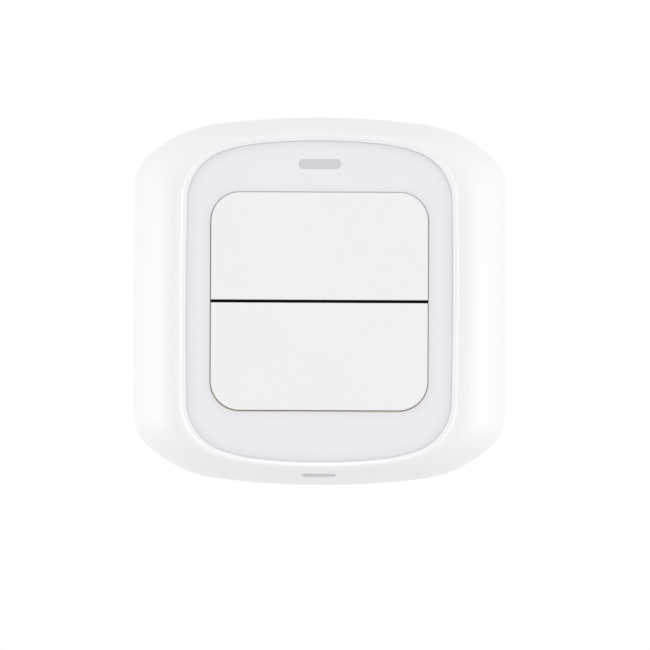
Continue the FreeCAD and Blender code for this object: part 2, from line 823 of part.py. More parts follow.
def buildKey(gang):
    body = newBody(gang + "_key")
    low, high = "keySplit / 2", "keySpan / 2"
    side = "keyWidth / 2"

    def keyOutline(sketch, inset):
        # A box with its two far corners rounded; the free edge at the split keeps square corners
        left, right = "-(%s - %s)" % (side, inset), "%s - %s" % (side, inset)
        bottom, top = "%s + %s" % (low, inset), "%s - %s" % (high, inset)
        radius = "keyCornerRadius - %s" % inset
        r, x, z0, z1 = value(radius), value(right), value(bottom), value(top)
        n = sketch.GeometryCount
        sketch.addGeometry([
            Part.LineSegment(Vector(-x, z0, 0), Vector(x, z0, 0)),
            Part.LineSegment(Vector(x, z0, 0), Vector(x, z1 - r, 0)),
            arcOf(x - r, z1 - r, r, 0, 90),
            Part.LineSegment(Vector(x - r, z1, 0), Vector(r - x, z1, 0)),
            arcOf(r - x, z1 - r, r, 90, 180),
            Part.LineSegment(Vector(-x, z1 - r, 0), Vector(-x, z0, 0))], False)
        for before, after in ((0, 1), (5, 0)):
            sketch.addConstraint(Sketcher.Constraint("Coincident", n + before, 2, n + after, 1))
        for before in (1, 2, 3, 4):
            sketch.addConstraint(Sketcher.Constraint("Tangent", n + before, 2, n + before + 1, 1))
        sketch.addConstraint(Sketcher.Constraint("Horizontal", n + 3))
        for upright in (1, 5):
            sketch.addConstraint(Sketcher.Constraint("Vertical", n + upright))
        sketch.addConstraint(Sketcher.Constraint("Equal", n + 2, n + 4))
        dimension(sketch, "Radius", radius, n + 2)
        hold(sketch, n, 1, left, bottom)
        hold(sketch, n + 1, 1, right, bottom)
        dimension(sketch, "DistanceY", top, -1, 1, n + 3, 1)

    face = newSketch(body, "face", lift="keyBack")
    keyOutline(face, "0")
    pad(body, face, "facePad", "keyThickness")
    soften(body, "Fillet", "faceEdge", "keyEdge", lambda edge: atDepth(edge, value("keyFront")))
    skirt = newSketch(body, "skirt", lift="keyBack")
    keyOutline(skirt, "0")
    keyOutline(skirt, "keySkirtWall")
    pad(body, skirt, "skirtPad", "keySkirtDepth", forward=False)
    # Stiffening ribs behind the face, the nub that meets the switch, and the hinge ears
    for number, x in enumerate(("-keyWidth / 4", "-keyRibWidth / 2", "keyWidth / 4 - keyRibWidth")):
        block(body, "rib%d" % number, x, low + " + keySkirtWall", "keyBack - keyRibHeight", "keyRibWidth",
              "keySpan / 2 - keySplit / 2 - 2 * keySkirtWall", "keyRibHeight")
    block(body, "nubPocket", "-keyRibWidth / 2", "switchZ - switchBodySize / 2 - nubPocketMargin",
          "keyBack - keyRibHeight", "keyRibWidth", "switchBodySize + 2 * nubPocketMargin", "keyRibHeight",
          cut=True)
    rod(body, "nub", "0", "switchZ", "keyBack - nubHeight", "nubRadius", "nubHeight + weld")
    for number, end in enumerate((1, -1)):
        start = signed("hingeSpan / 2", end) + " - hingeEarWidth / 2"
        ear = newSketch(body, "ear%d" % number, "YZ_Plane", start)
        # On this plane the first axis is the negative depth
        polygon(ear, (("-keyBack", "hingeZ - hingeEarRadius"), ("-hingeDepth", "hingeZ - hingeEarRadius"),
                      ("-hingeDepth", "hingeZ + hingeEarRadius"), ("-keyBack", "hingeZ + hingeEarRadius")))
        pad(body, ear, "earPad%d" % number, "hingeEarWidth")
        rod(body, "earRound%d" % number, "-hingeDepth", "hingeZ", start, "hingeEarRadius", "hingeEarWidth",
            role="YZ_Plane")
        rod(body, "earBore%d" % number, "-hingeDepth", "hingeZ", start + " - hingeEarWidth / 2",
            "hingePinRadius + hingeClearance", "2 * hingeEarWidth", role="YZ_Plane", cut=True)
    onGang(body, gang)
    return body


def group(label, solids):
    # Several equal solids in one node
    item = doc.addObject("Part::Compound", label)
    item.Label = label
    item.Links = solids
    return item


def buildKeyPins(gang):
    pins = []
    for end in (1, -1):
        body = newBody("%sKeyPin%s" % (gang, "Right" if end > 0 else "Left"))
        length = "hingeEarWidth + 2 * hingeForkGap + 2 * hingeForkWall"
        rod(body, "pinRod", "-hingeDepth", "hingeZ", "%s - (%s) / 2" % (signed("hingeSpan / 2", end), length),
            "hingePinRadius", length, role="YZ_Plane")
        onGang(body, gang)
        pins.append(body)
    return group(gang + "_key_pins", pins)


def buildSwitch(gang):
    body = newBody(gang + "_switch")
    block(body, "case", "-switchBodySize / 2", "switchZ - switchBodySize / 2", "boardFront",
          "switchBodySize", "switchBodySize", "switchBodyHeight")
    soften(body, "Chamfer", "caseCorners", "switchCorner", alongDepth)
    rod(body, "bore", "0", "switchZ", "boardFront + switchBodyHeight - plungerDepth",
        "plungerRadius + plungerClearance", "plungerDepth", cut=True)
    onGang(body, gang)
    return body


def buildPlunger(gang):
    body = newBody(gang + "_plunger")
    # It rests above the bore's floor by its travel
    rod(body, "button", "0", "switchZ", "boardFront + switchBodyHeight - plungerDepth + plungerTravel",
        "plungerRadius", "plungerDepth - plungerTravel + plungerRise")
    soften(body, "Chamfer", "buttonEdge", "plungerEdge", lambda edge: atDepth(edge, value("plungerTop")))
    onGang(body, gang)
    return body


def buildMainBoard():
    body = newBody("main_board")
    plate = newSketch(body, "plate", lift="boardBack")
    roundedBox(plate, "0", "0", "boardWidth", "boardHeight", "boardCorner")
    pad(body, plate, "platePad", "boardThickness")
    block(body, "lensTongue", "-tongueWidth / 2", "boardHeight / 2 - weld", "boardBack", "tongueWidth",
          "lensTongueReach - boardHeight / 2 + weld", "boardThickness")
    block(body, "portTongue", "-tongueWidth / 2", "-portTongueReach", "boardBack", "tongueWidth",
          "portTongueReach - boardHeight / 2 + weld", "boardThickness")
    holes = newSketch(body, "screwHoles", lift="boardFront + overcut")
    for side in (1, -1):
        for level in (1, -1):
            circle(holes, signed("boardScrewX", side), signed("boardScrewZ", level),
                   "screwRadius + screwPlay")
    pocket(body, holes, "screwHolesCut", forward=False)
    return body


def buildBoardParts():
    led = newBody("status_led")
    block(led, "ledBody", "-ledWidth / 2", "lensZ - ledHeight / 2", "boardFront",
          "ledWidth", "ledHeight", "ledThickness")
    rod(led, "ledCup", "0", "lensZ", "boardFront + ledThickness - ledCupDepth", "ledCupRadius",
        "ledCupDepth", cut=True)

    radio = newBody("radio_module")
    block(radio, "radioBase", "-radioWidth / 2", "-radioHeight / 2", "boardBack - radioBaseThickness",
          "radioWidth", "radioHeight", "radioBaseThickness")
    block(radio, "radioCan", "-radioWidth / 2 + radioCanInset", "-radioHeight / 2 + radioCanInset",
          "boardBack - radioThickness", "radioCanWidth", "radioHeight - 2 * radioCanInset",
          "radioThickness - radioBaseThickness")
    canBack = -value("boardBack - radioThickness")
    soften(radio, "Fillet", "radioCanCorners", "radioCanCorner", lambda edge: alongDepth(edge)
           and abs(edge.BoundBox.YMax - canBack) < 1e-4)

    chips = []
    for label, side in (("motor_driver_chip", 1), ("charger_chip", -1)):
        chip = newBody(label)
        block(chip, "chipBody", signed("chipX", side) + " - chipSize / 2", "-chipZ - chipSize / 2",
              "boardFront", "chipSize", "chipSize", "chipThickness")
        soften(chip, "Chamfer", "chipTopEdge", "chipEdge",
               lambda edge: atDepth(edge, value("boardFront + chipThickness")))
        chips.append(chip)

    port = newBody("charging_port")
    shell = newSketch(port, "portShell", "XY_Plane", "-portBottom")
    roundedBox(shell, "0", "-portDepth", "portWidth", "portHeight - 2 * seatRelief", "portCorner")
    pad(port, shell, "portShellPad", "portLength")
    bore = newSketch(port, "portBore", "XY_Plane", "-portBottom")
    roundedBox(bore, "0", "-portDepth", "portWidth - 2 * portWall", "portHeight - 2 * portWall",
               "portCorner - portWall")
    pocket(port, bore, "portBoreCut", "portLength - portFloor")
    block(port, "portBlade", "-portBladeWidth / 2", "-portDepth - portBladeThickness / 2",
          "portBladeSetBack - portBottom", "portBladeWidth", "portBladeThickness",
          "portLength - portFloor - portBladeSetBack + weld", role="XY_Plane")
    return [led, radio, port] + chips


saddleWidth = "2 * cellRadius - saddleInnerInset - saddleOuterInset"


def saddleStart(side):
    # Left end of a cell's saddle; it starts nearer the cell's edge on the inner side
    return "cellX - cellRadius + saddleInnerInset" if side > 0 else "-(cellX + cellRadius - saddleOuterInset)"


def buildChassis():
    outline = shrink(innerOutline(value("chassisFront")), value("chassisClearance"))
    body = newBody("chassisFrame", prism("chassisPlate", outline, "chassisBack", "chassisThickness"))

    def fourCircles(name, lift, x, z, radius):
        sketch = newSketch(body, name, lift=lift)
        for side in (1, -1):
            for level in (1, -1):
                circle(sketch, signed(x, side), signed(z, level), radius)
        return sketch

    # Board standoffs and their pilot holes
    pad(body, fourCircles("standoffs", "chassisFront", "boardScrewX", "boardScrewZ", "boardBossRadius"),
        "standoffPads", "boardStandoff")
    pocket(body, fourCircles("standoffPilots", "boardBack", "boardScrewX", "boardScrewZ", "screwRadius"),
           "standoffPilotHoles", "boardStandoff", forward=False)
    # Pillars down to the rear cover
    pad(body, fourCircles("pillars", "chassisBack", "pillarX", "pillarZ", "pillarRadius"),
        "pillarPads", "chassisBack - coverInner - pillarGap", forward=False)
    pocket(body, fourCircles("pillarPilots", "coverInner", "pillarX", "pillarZ", "screwRadius"),
           "pillarPilotHoles", "coverScrewLength")
    pocket(body, fourCircles("shellHoles", "chassisBack - overcut", "shellBossX", "shellBossZ",
                             "screwRadius + screwPlay"), "shellHolesCut", "chassisThickness + 2 * overcut")
    # Windows for the leads to the motors and the cells
    leads = newSketch(body, "leadWindows", lift="chassisFront + overcut")
    for side in (1, -1):
        roundedBox(leads, signed("leadWindowX", side), "0", "leadWindowWidth", "leadWindowHeight",
                   "leadWindowCorner")
    pocket(body, leads, "leadWindowsCut", "chassisThickness + 2 * overcut", forward=False)

    # Hinge forks for the keys
    added, removed = [body], []
    gap = "hingeEarWidth + 2 * hingeForkGap"
    forkWidth = gap + " + 2 * hingeForkWall"
    for level in (1, -1):
        for side in (1, -1):
            name = "%s%s" % ("Upper" if level > 0 else "Lower", "Right" if side > 0 else "Left")
            left = "%s - (%s) / 2" % (signed("hingeSpan / 2", side), forkWidth)
            z = signed("hingeZ", level)
            added.append(boxSolid("fork" + name, left, "chassisFront - weld", z + " - hingeEarRadius",
                                  forkWidth, "hingeDepth - chassisFront + weld", "2 * hingeEarRadius"))
            added.append(rodSolid("forkRound" + name, alongX, left, "hingeDepth", z, "hingeEarRadius",
                                  forkWidth))
            slotLeft = "%s - (%s) / 2" % (signed("hingeSpan / 2", side), gap)
            removed.append(boxSolid("forkSlot" + name, slotLeft,
                                    "chassisFront + hingeForkFloor", z + " - hingeEarRadius - overcut", gap,
                                    "hingeDepth - chassisFront + hingeEarRadius",
                                    "2 * hingeEarRadius + 2 * overcut"))
            removed.append(rodSolid("forkBore" + name, alongX, left + " - overcut", "hingeDepth", z,
                                    "hingePinRadius + shaftPress", forkWidth + " + 2 * overcut"))
    # Walls beside each motor, and the clamps' screw holes
    for gang, turn in (("Upper", 1), ("Lower", -1)):
        low = "motorRear + cradleInset" if turn > 0 else "-(gearboxRear - cradleInset)"
        for side in (1, -1):
            offset = "motorWidth / 2 + clampGap" if side > 0 else "-(motorWidth / 2 + clampGap + cradleWall)"
            name = gang + ("Right" if side > 0 else "Left")
            added.append(boxSolid("motorWall" + name, "%s + %s" % (signed("pinionX", turn), offset),
                                  "chassisBack - cradleDepth", low, "cradleWall", "cradleDepth + weld",
                                  "motorCanLength - 2 * cradleInset"))
            removed.append(rodSolid("clampHole" + name, forwards,
                                    "%s + %s" % (signed("pinionX", turn), signed("clampHoleX", side)),
                                    "chassisBack - overcut", signed("clampStart + clampWidth / 2", turn),
                                    "screwRadius", "chassisThickness + 2 * overcut"))
    # Saddles that hold the cells from the front
    for side in (1, -1):
        name = "Right" if side > 0 else "Left"
        x = saddleStart(side)
        for level in (1, -1):
            added.append(boxSolid("saddle%s%d" % (name, level + 1), x, "cellDepth + saddleReach",
                                  signed("cellRibZ", level) + " - cellRibWall / 2", saddleWidth,
                                  "chassisBack - cellDepth - saddleReach + weld", "cellRibWall"))
        removed.append(rodSolid("saddleRound" + name, upwards, signed("cellX", side), "cellDepth",
                                "-cellLength / 2", "cellRadius + cellClearance", "cellLength"))
    return cutAway("chassis", fuse("chassisWhole", added), removed)


def flattedWire(radius, flat, lift):
    # A circle with a flat on its right side
    reach = math.sqrt(radius ** 2 - (radius - flat) ** 2)
    low = Vector(radius - flat, -reach, lift)
    high = Vector(radius - flat, reach, lift)
    return Part.Wire([Part.Arc(high, Vector(-radius, 0, lift), low).toShape(), Part.makeLine(low, high)])


def toothAngles(teeth, shift):
    # Half angle of a tooth at its pitch circle, thinned by the backlash
    module = value("gearModule")
    widen = 2 * shift * math.tan(math.radians(value("pressureAngle")))
    thickness = module * (math.pi / 2 + widen) - value("toothBacklash") / 2
    return thickness / (module * teeth)


def involute(angle):
    return math.tan(angle) - angle


def gearEdges(teeth, shift, kept, heading):
    # Teeth about the origin, the middle one centred on the heading; each flank is one arc
    # through three points of the involute. The root circle joins them.
    module = value("gearModule")
    pressure = math.radians(value("pressureAngle"))
    pitch = module * teeth / 2
    base = pitch * math.cos(pressure)
    tip = pitch + module * (1 + shift)
    root = pitch - module * (1 - shift) - module * value("toothRootShare")
    half = toothAngles(teeth, shift)
    low = max(base, root)

    def halfAngle(radius):
        lean = math.acos(min(1.0, base / radius))
        return half + involute(pressure) - involute(lean)

    def at(radius, angle):
        return Vector(radius * math.cos(angle), radius * math.sin(angle), 0)

    edges = []
    step = 2 * math.pi / teeth
    first = heading - step * (kept - 1) / 2
    radii = (low, (low + tip) / 2, tip)
    previous = None
    for number in range(kept):
        middle = first + number * step
        rising = [at(radius, middle - halfAngle(radius)) for radius in radii]
        falling = [at(radius, middle + halfAngle(radius)) for radius in reversed(radii)]
        foot = at(root, middle - halfAngle(low))
        if previous is not None:
            between = middle - step / 2
            edges.append(Part.Arc(previous, at(root, between), foot).toShape())
        else:
            start = foot
        if base > root:
            edges.append(Part.makeLine(foot, rising[0]))
        edges.append(Part.Arc(*rising).toShape())
        edges.append(Part.Arc(rising[2], at(tip, middle), falling[0]).toShape())
        edges.append(Part.Arc(*falling).toShape())
        previous = at(root, middle + halfAngle(low))
        if base > root:
            edges.append(Part.makeLine(falling[2], previous))
        else:
            previous = falling[2]
    return edges, start, previous


def gearFace(edges, bores, x, depth, lift):
    face = Part.makeFace([Part.Wire(edges)] + bores, "Part::FaceMakerBullseye")
    face.translate(Vector(x, -depth, lift))
    return face


def extruded(name, face, height):
    profile = doc.addObject("Part::Feature", name + "Profile")
    profile.Shape = face
    item = doc.addObject("Part::Extrusion", name)
    item.Base = profile
    item.DirMode = "Custom"
    item.Dir = Vector(0, 0, 1)
    item.Solid = True
    bind(item, LengthFwd=height)
    return item


def headingToPinion():
    # Seen from above, the direction from an arm's pivot to its pinion
    return math.radians(value("pinionAngle") - 90)


def buildPinion(gang):
    teeth = int(value("pinionTeeth"))
    # A gap faces the quadrant: the tooth opposite it is turned by half a step when the count is even
    away = headingToPinion() + math.pi
    step = 2 * math.pi / teeth
    heading = away + step / 2 + step * (teeth - 1) / 2
    edges, start, end = gearEdges(teeth, value("toothShiftShare"), teeth, heading)
    bend = heading + step * teeth / 2
    root = value("gearModule") * (teeth / 2 - 1 + value("toothShiftShare") - value("toothRootShare"))
    middle = Vector(root * math.cos(bend), root * math.sin(bend), 0)
    edges.append(Part.Arc(end, middle, start).toShape())
    bore = flattedWire(value("outputRadius + outputClearance"), value("outputFlat"), 0)
    face = gearFace(edges, [bore], value("pinionX"), value("pinionDepth"), value("pinionBottom"))
    body = newBody(gang + "_pinion", extruded(gang + "PinionBlank", face, "pinionWidth"))
    onGang(body, gang)
    return body


def buildMotor(gang):
    body = newBody(gang + "_motor")
    left = "pinionX - motorWidth / 2"
    y = "-(pinionDepth + motorThickness / 2)"
    rod(body, "can", "pinionX", "-pinionDepth", "motorRear", "motorWidth / 2", "motorCanLength",
        role="XY_Plane")
    for name, edge in (("flatFront", "-(pinionDepth + motorWidth / 2)"),
                       ("flatBack", "-(pinionDepth - motorThickness / 2)")):
        block(body, name, left, edge, "motorRear", "motorWidth", "(motorWidth - motorThickness) / 2",
              "motorCanLength", role="XY_Plane", cut=True)
    block(body, "gearboxPlateRear", left, y, "gearboxRear", "motorWidth", "motorThickness", "gearboxPlate",
          role="XY_Plane")
    block(body, "gearboxCase", left + " + gearboxInset", y + " + gearboxInset", "gearboxRear",
          "motorWidth - 2 * gearboxInset", "motorThickness - 2 * gearboxInset", "gearboxLength",
          role="XY_Plane")
    block(body, "gearboxPlateFace", left, y, "gearboxFace - gearboxPlate", "motorWidth", "motorThickness",
          "gearboxPlate", role="XY_Plane")
    rod(body, "bushing", "pinionX", "-pinionDepth", "gearboxFace", "bushingRadius", "bushingHeight",
        role="XY_Plane")
    rod(body, "bushingBore", "pinionX", "-pinionDepth", "gearboxFace - outputRoot - seatRelief",
        "outputRadius + outputClearance", "bushingHeight + outputRoot + seatRelief", role="XY_Plane",
        cut=True)
    rod(body, "endCap", "pinionX", "-pinionDepth", "motorRear - motorCapLength", "motorCapRadius",
        "motorCapLength", role="XY_Plane")
    for number, side in enumerate((-1, 1)):
        block(body, "terminal%d" % number,
              "pinionX + " + signed("terminalSpread / 2", side) + " - terminalThickness / 2",
              "-pinionDepth - terminalWidth / 2", "motorRear - terminalLength", "terminalThickness",
              "terminalWidth", "terminalLength", role="XY_Plane")
    onGang(body, gang)
    return body


def buildMotorShaft(gang):
    wire = flattedWire(value("outputRadius"), value("outputFlat"), 0)
    face = gearFace(wire.Edges, [], value("pinionX"), value("pinionDepth"), value("gearboxFace - outputRoot"))
    length = "outputRoot + bushingHeight + pinionGap + pinionWidth + outputTail"
    body = newBody(gang + "_motor_shaft", extruded(gang + "ShaftBlank", face, length))
    onGang(body, gang)
    return body


def buildMotorClamp(gang):
    body = newBody(gang + "_motor_clamp")
    half = "motorWidth / 2 + clampGap"
    block(body, "strap", "pinionX - (%s) - clampThickness" % half, "clampStart",
          "motorBack - clampGap - clampThickness", "2 * (%s) + 2 * clampThickness" % half, "clampWidth",
          "chassisBack - motorBack + clampGap + clampThickness")
    block(body, "flanges", "pinionX - (%s) - clampThickness - clampFlange" % half, "clampStart",
          "chassisBack - clampThickness", "2 * (%s) + 2 * clampThickness + 2 * clampFlange" % half,
          "clampWidth", "clampThickness")
    block(body, "seat", "pinionX - (%s)" % half, "clampStart - overcut", "motorBack - clampGap",
          "2 * (%s)" % half, "clampWidth + 2 * overcut", "chassisBack", cut=True)
    for side in (1, -1):
        rod(body, "screwHole%d" % side, "pinionX + " + signed("clampHoleX", side),
            "clampStart + clampWidth / 2", "chassisBack - clampThickness - overcut",
            "screwRadius + screwPlay", "clampThickness + 2 * overcut", cut=True)
    strapBack = value("motorBack - clampGap - clampThickness")
    soften(body, "Fillet", "strapCorners", "clampCorner",
           lambda edge: atDepth(edge, strapBack) and edge.BoundBox.XLength < 1e-4)
    onGang(body, gang)
    return body


def buildArm(gang):
    heading = headingToPinion()
    teeth = int(value("quadrantTeeth"))
    edges, start, end = gearEdges(teeth, -value("toothShiftShare"), int(value("quadrantKept")), heading)
    centre = Vector(0, 0, 0)
    edges.append(Part.makeLine(end, centre))
    edges.append(Part.makeLine(centre, start))
    face = gearFace(edges, [], 0, value("pivotDepth"), value("gangZ - quadrantWidth / 2"))
    body = newBody(gang + "_arm", extruded(gang + "Quadrant", face, "quadrantWidth"))
    rod(body, "hub", "0", "-pivotDepth", "gangZ - hubLength / 2", "hubRadius", "hubLength", role="XY_Plane")
    beam = newSketch(body, "beam", "XY_Plane", "gangZ - armWidth / 2")
    under, crown = "-(pivotDepth - armUnder)", "-(pivotDepth + beamCrown)"
    tip = "-(pivotDepth - armUnder + armTipThickness)"
    polygon(beam, (("-armReach", under), ("armReach", under), ("armReach", tip),
                   ("hubRadius", crown), ("-hubRadius", crown), ("-armReach", tip)))
    pad(body, beam, "beamPad", "armWidth")
    # Lightening pockets leave a web and two flanges
    for number, side in enumerate((1, -1)):
        recess = newSketch(body, "beamRecess%d" % number, "XY_Plane",
                           "gangZ + " + signed("armWidth / 2", side))
        for end in (1, -1):
            inner, outer = signed("hubRadius + recessInset", end), signed("footX - footRadius", end)
            polygon(recess, ((inner, under + " - beamFlange"), (outer, under + " - beamFlange"),
                             (outer, tip + " + beamFlange"), (inner, crown + " + beamFlange")))
        pocket(body, recess, "beamRecessCut%d" % number, "(armWidth - armWeb) / 2", forward=side < 0)
    soften(body, "Fillet", "beamEnds", "armEndRadius", lambda edge: alongDepth(edge)
           and abs(abs(edge.BoundBox.XMax) - value("armReach")) < 1e-4)
    rod(body, "pivotBore", "0", "-pivotDepth", "gangZ - hubLength / 2 - overcut",
        "pivotRadius + pivotClearance", "hubLength + 2 * overcut", role="XY_Plane", cut=True)
    for number, side in enumerate((1, -1)):
        rod(body, "footHole%d" % number, signed("footX", side), "gangZ", "pivotDepth - armUnder - overcut",
            "footStemRadius + footClearance", "armTipThickness + 3 * overcut", cut=True)
    onGang(body, gang)
    return body


def buildArmShaft(gang):
    body = newBody(gang + "_arm_shaft")
    rod(body, "shaftRod", "0", "-pivotDepth", "earStart", "pivotRadius", "pivotLength", role="XY_Plane")
    soften(body, "Chamfer", "shaftEnds", "shaftChamfer", lambda edge: edge.BoundBox.ZLength < 1e-4)
    onGang(body, gang)
    return body


def buildFoot(gang, side):
    # A rubber cap with a domed tip and a stem that snaps through the arm
    label = "%s_%s_foot" % (gang, "right" if side > 0 else "left")
    body = newBody(label)
    profile = newSketch(body, "footProfile", "YZ_Plane", "0")
    seat = "pivotDepth - armUnder - footClearance"
    snap = "pivotDepth - armUnder + armTipThickness + footHeadPlay"
    head = snap + " + footHeadHeight"
    points = (("-footTipDepth", "0"), ("-footTipDepth", "footTipRadius"),
              ("-(footTipDepth + footTipStep)", "footShoulderRadius"),
              ("-(footTipDepth + footShoulderStep)", "footRadius"),
              ("-(%s)" % seat, "footRadius"), ("-(%s)" % seat, "footStemRadius"),
              ("-(%s)" % snap, "footStemRadius"), ("-(%s)" % snap, "footHeadRadius"),
              ("-(%s)" % head, "footHeadRadius - footHeadTaper"), ("-(%s)" % head, "0"))
    polygon(profile, points)
    turn = body.newObject("PartDesign::Revolution", "footTurn")
    turn.Profile = profile
    turn.ReferenceAxis = (profile, ["H_Axis"])
    turn.Angle = 360
    spot = Vector(side * value("footX"), 0, value("gangZ"))
    angle = 0 if gang == "upper" else 180
    turned = Rotation(Vector(0, 1, 0), angle)
    body.Placement = Placement(turned.multVec(spot), turned)
    return body


def buildRearCover():
    outline = shrink(housing, value("housingWall + coverClearance"))
    body = newBody("coverFrame", prism("coverPlate", outline, "coverBack", "coverThickness"))
    lipInside = shrink(outline, value("coverLipWall"))
    lip = combine("Cut", "coverLip", prism("coverLipOuter", outline, "coverInner", "coverLipDepth"),
                  prism("coverLipInner", lipInside, "coverInner", "coverLipDepth"))

    def eachSpot(name, lift, x, z, radius):
        sketch = newSketch(body, name, lift=lift)
        for side in (1, -1):
            for level in (1, -1):
                circle(sketch, signed(x, side), signed(z, level), radius)
        return sketch

    # Cups for the magnets, open to the inside
    pad(body, eachSpot("magnetCups", "coverInner", "magnetX", "magnetZ",
                       "magnetRadius + magnetClearance + magnetCupWall"), "magnetCupPads",
        "magnetCupHeight")
    pocket(body, eachSpot("magnetBores", "coverBack + magnetFloor", "magnetX", "magnetZ",
                          "magnetRadius + magnetClearance"), "magnetBoreCuts",
           "coverThickness + magnetCupHeight")
    # Pusher windows, two to each gang, with the bearing rib between them
    windows = newSketch(body, "pusherWindows", lift="coverInner + overcut")
    for side in (1, -1):
        for level in (1, -1):
            roundedBox(windows, signed("(windowInner + windowOuter) / 2", side), signed("gangZ", level),
                       "windowOuter - windowInner", "windowTall", "windowCorner")
    pocket(body, windows, "pusherWindowsCut", "coverThickness + 2 * overcut", forward=False)
    # Holes for the locating pegs and for the cover screws
    pegs = newSketch(body, "pegHoles", lift="coverInner + overcut")
    for level in (1, -1):
        circle(pegs, "0", signed("pegZ", level), "pegRadius + pegClearance")
    pocket(body, pegs, "pegHolesCut", "coverThickness + 2 * overcut", forward=False)
    pocket(body, eachSpot("screwHoles", "coverBack - overcut", "pillarX", "pillarZ",
                          "screwRadius + screwPlay"), "screwHolesCut", "coverThickness + 2 * overcut")
    pocket(body, eachSpot("screwSeats", "coverBack - overcut", "pillarX", "pillarZ",
                          "screwHeadRadius + screwPlay"), "screwSeatsCut", "headSeat - coverBack + overcut")
    # Ears that carry the arm shafts
    added, removed = [body, lip], []
    for level in (1, -1):
        starts = ("earStart", "gangZ + hubLength / 2 + earGap")
        for number, start in enumerate(starts):
            z = start if level > 0 else "-(%s + earThickness)" % start
            name = "%s%d" % ("Upper" if level > 0 else "Lower", number)
            added.append(boxSolid("ear" + name, "-hubRadius", "coverInner - weld", z, "2 * hubRadius",
                                  "pivotDepth - coverInner + weld", "earThickness"))
            added.append(rodSolid("earRound" + name, upwards, "0", "pivotDepth", z, "hubRadius",
                                  "earThickness"))
            removed.append(rodSolid("earBore" + name, upwards, "0", "pivotDepth", z + " - overcut / 4",
                                    "pivotRadius + shaftPress", "earThickness + overcut / 2"))
    # Saddles that hold the cells from behind
    for side in (1, -1):
        name = "Right" if side > 0 else "Left"
        x = saddleStart(side)
        for level in (1, -1):
            added.append(boxSolid("coverSaddle%s%d" % (name, level + 1), x, "coverInner - weld",
                                  signed("cellRibZ", level) + " - cellRibWall / 2", saddleWidth,
                                  "cellRibDepth + weld", "cellRibWall"))
        removed.append(rodSolid("coverSaddleRound" + name, upwards, signed("cellX", side), "cellDepth",
                                "-cellLength / 2", "cellRadius + cellClearance", "cellLength"))
    return cutAway("rear_cover", fuse("rearCoverWhole", added), removed)


def buildCell(side):
    body = newBody(("right" if side > 0 else "left") + "_battery_cell")
    profile = newSketch(body, "cellProfile", "YZ_Plane", "0")
    low, high = "-cellLength / 2", "cellLength / 2 - cellNippleHeight"
    grooveTop = high + " - cellGrooveBelow"
    grooveEdge = grooveTop + " - cellGrooveLean"
    grooveFloor = grooveEdge + " - cellGrooveWidth"
    polygon(profile, (("0", low), ("cellRadius - cellEdge", low), ("cellRadius", low + " + cellEdge"),
                      ("cellRadius", grooveFloor + " - cellGrooveLean"),
                      ("cellRadius - cellGrooveDepth", grooveFloor),
                      ("cellRadius - cellGrooveDepth", grooveEdge), ("cellRadius", grooveTop),
                      ("cellRadius", high + " - cellEdge"), ("cellRadius - cellEdge", high),
                      ("cellNippleRadius", high), ("cellNippleRadius", "cellLength / 2"),
                      ("0", "cellLength / 2")))
    turn = body.newObject("PartDesign::Revolution", "cellTurn")
    turn.Profile = profile
    turn.ReferenceAxis = (profile, ["V_Axis"])
    turn.Angle = 360
    body.Placement = Placement(Vector(side * value("cellX"), -value("cellDepth"), 0), Rotation())
    return body


def buildBracket():
    outline = shrink(housing, value("bracketInset"))
    body = newBody("wall_bracket", prism("bracketPlate", outline, "0", "bracketThickness"))
    soften(body, "Chamfer", "bracketChamfer", "bracketEdge",
           lambda edge: atDepth(edge, value("bracketThickness")))
    opening = newSketch(body, "opening", lift="-overcut")
    roundedBox(opening, "0", "0", "bracketOpeningWidth", "bracketOpeningHeight", "bracketOpeningCorner")
    pocket(body, opening, "openingCut", "bracketThickness + 2 * overcut")
    slots = newSketch(body, "screwSlots", lift="-overcut")
    for side in (1, -1):
        slot(slots, signed("slotSpacing / 2", side), "0", "slotTravel", "slotRadius")
    pocket(body, slots, "screwSlotsCut", "bracketThickness + 2 * overcut")
    discs = newSketch(body, "discSeats", lift="bracketThickness")
    for side in (1, -1):
        for level in (1, -1):
            circle(discs, signed("magnetX", side), signed("magnetZ", level), "discRadius + magnetClearance")
    pocket(body, discs, "discSeatsCut", "discThickness", forward=False)
    pads = newSketch(body, "padSeats", lift="0")
    for side in (1, -1):
        for level in (1, -1):
            roundedBox(pads, signed("padX", side), signed("padZ", level), "padWidth + 2 * padSeatPlay",
                       "padHeight + 2 * padSeatPlay", "padCorner + padSeatPlay")
    pocket(body, pads, "padSeatsCut", "padThickness")
    pegs = newSketch(body, "pegs", lift="bracketThickness")
    for level in (1, -1):
        circle(pegs, "0", signed("pegZ", level), "pegRadius")
    pad(body, pegs, "pegPads", "pegLength")
    soften(body, "Chamfer", "pegTips", "pegChamfer",
           lambda edge: atDepth(edge, value("bracketThickness + pegLength")))
    return body


def buildFour(label, make):
    # Four equal solids at (+-x, +-z)
    return group(label, [make(side, level) for level in (1, -1) for side in (1, -1)])


def buildDiscs(label, x, z, depth, radius, thickness):
    def disc(side, level):
        body = newBody("%s_%d_%d" % (label, side + 1, level + 1))
        rod(body, "disc", signed(x, side), signed(z, level), depth, radius, thickness)
        return body
    return buildFour(label, disc)


def buildPads():
    def foam(side, level):
        body = newBody("foam_%d_%d" % (side + 1, level + 1))
        sketch = newSketch(body, "foamOutline", lift="0")
        roundedBox(sketch, signed("padX", side), signed("padZ", level), "padWidth", "padHeight",
                   "padCorner")
        pad(body, sketch, "foamPad", "padThickness")
        return body
    return buildFour("adhesive_pads", foam)


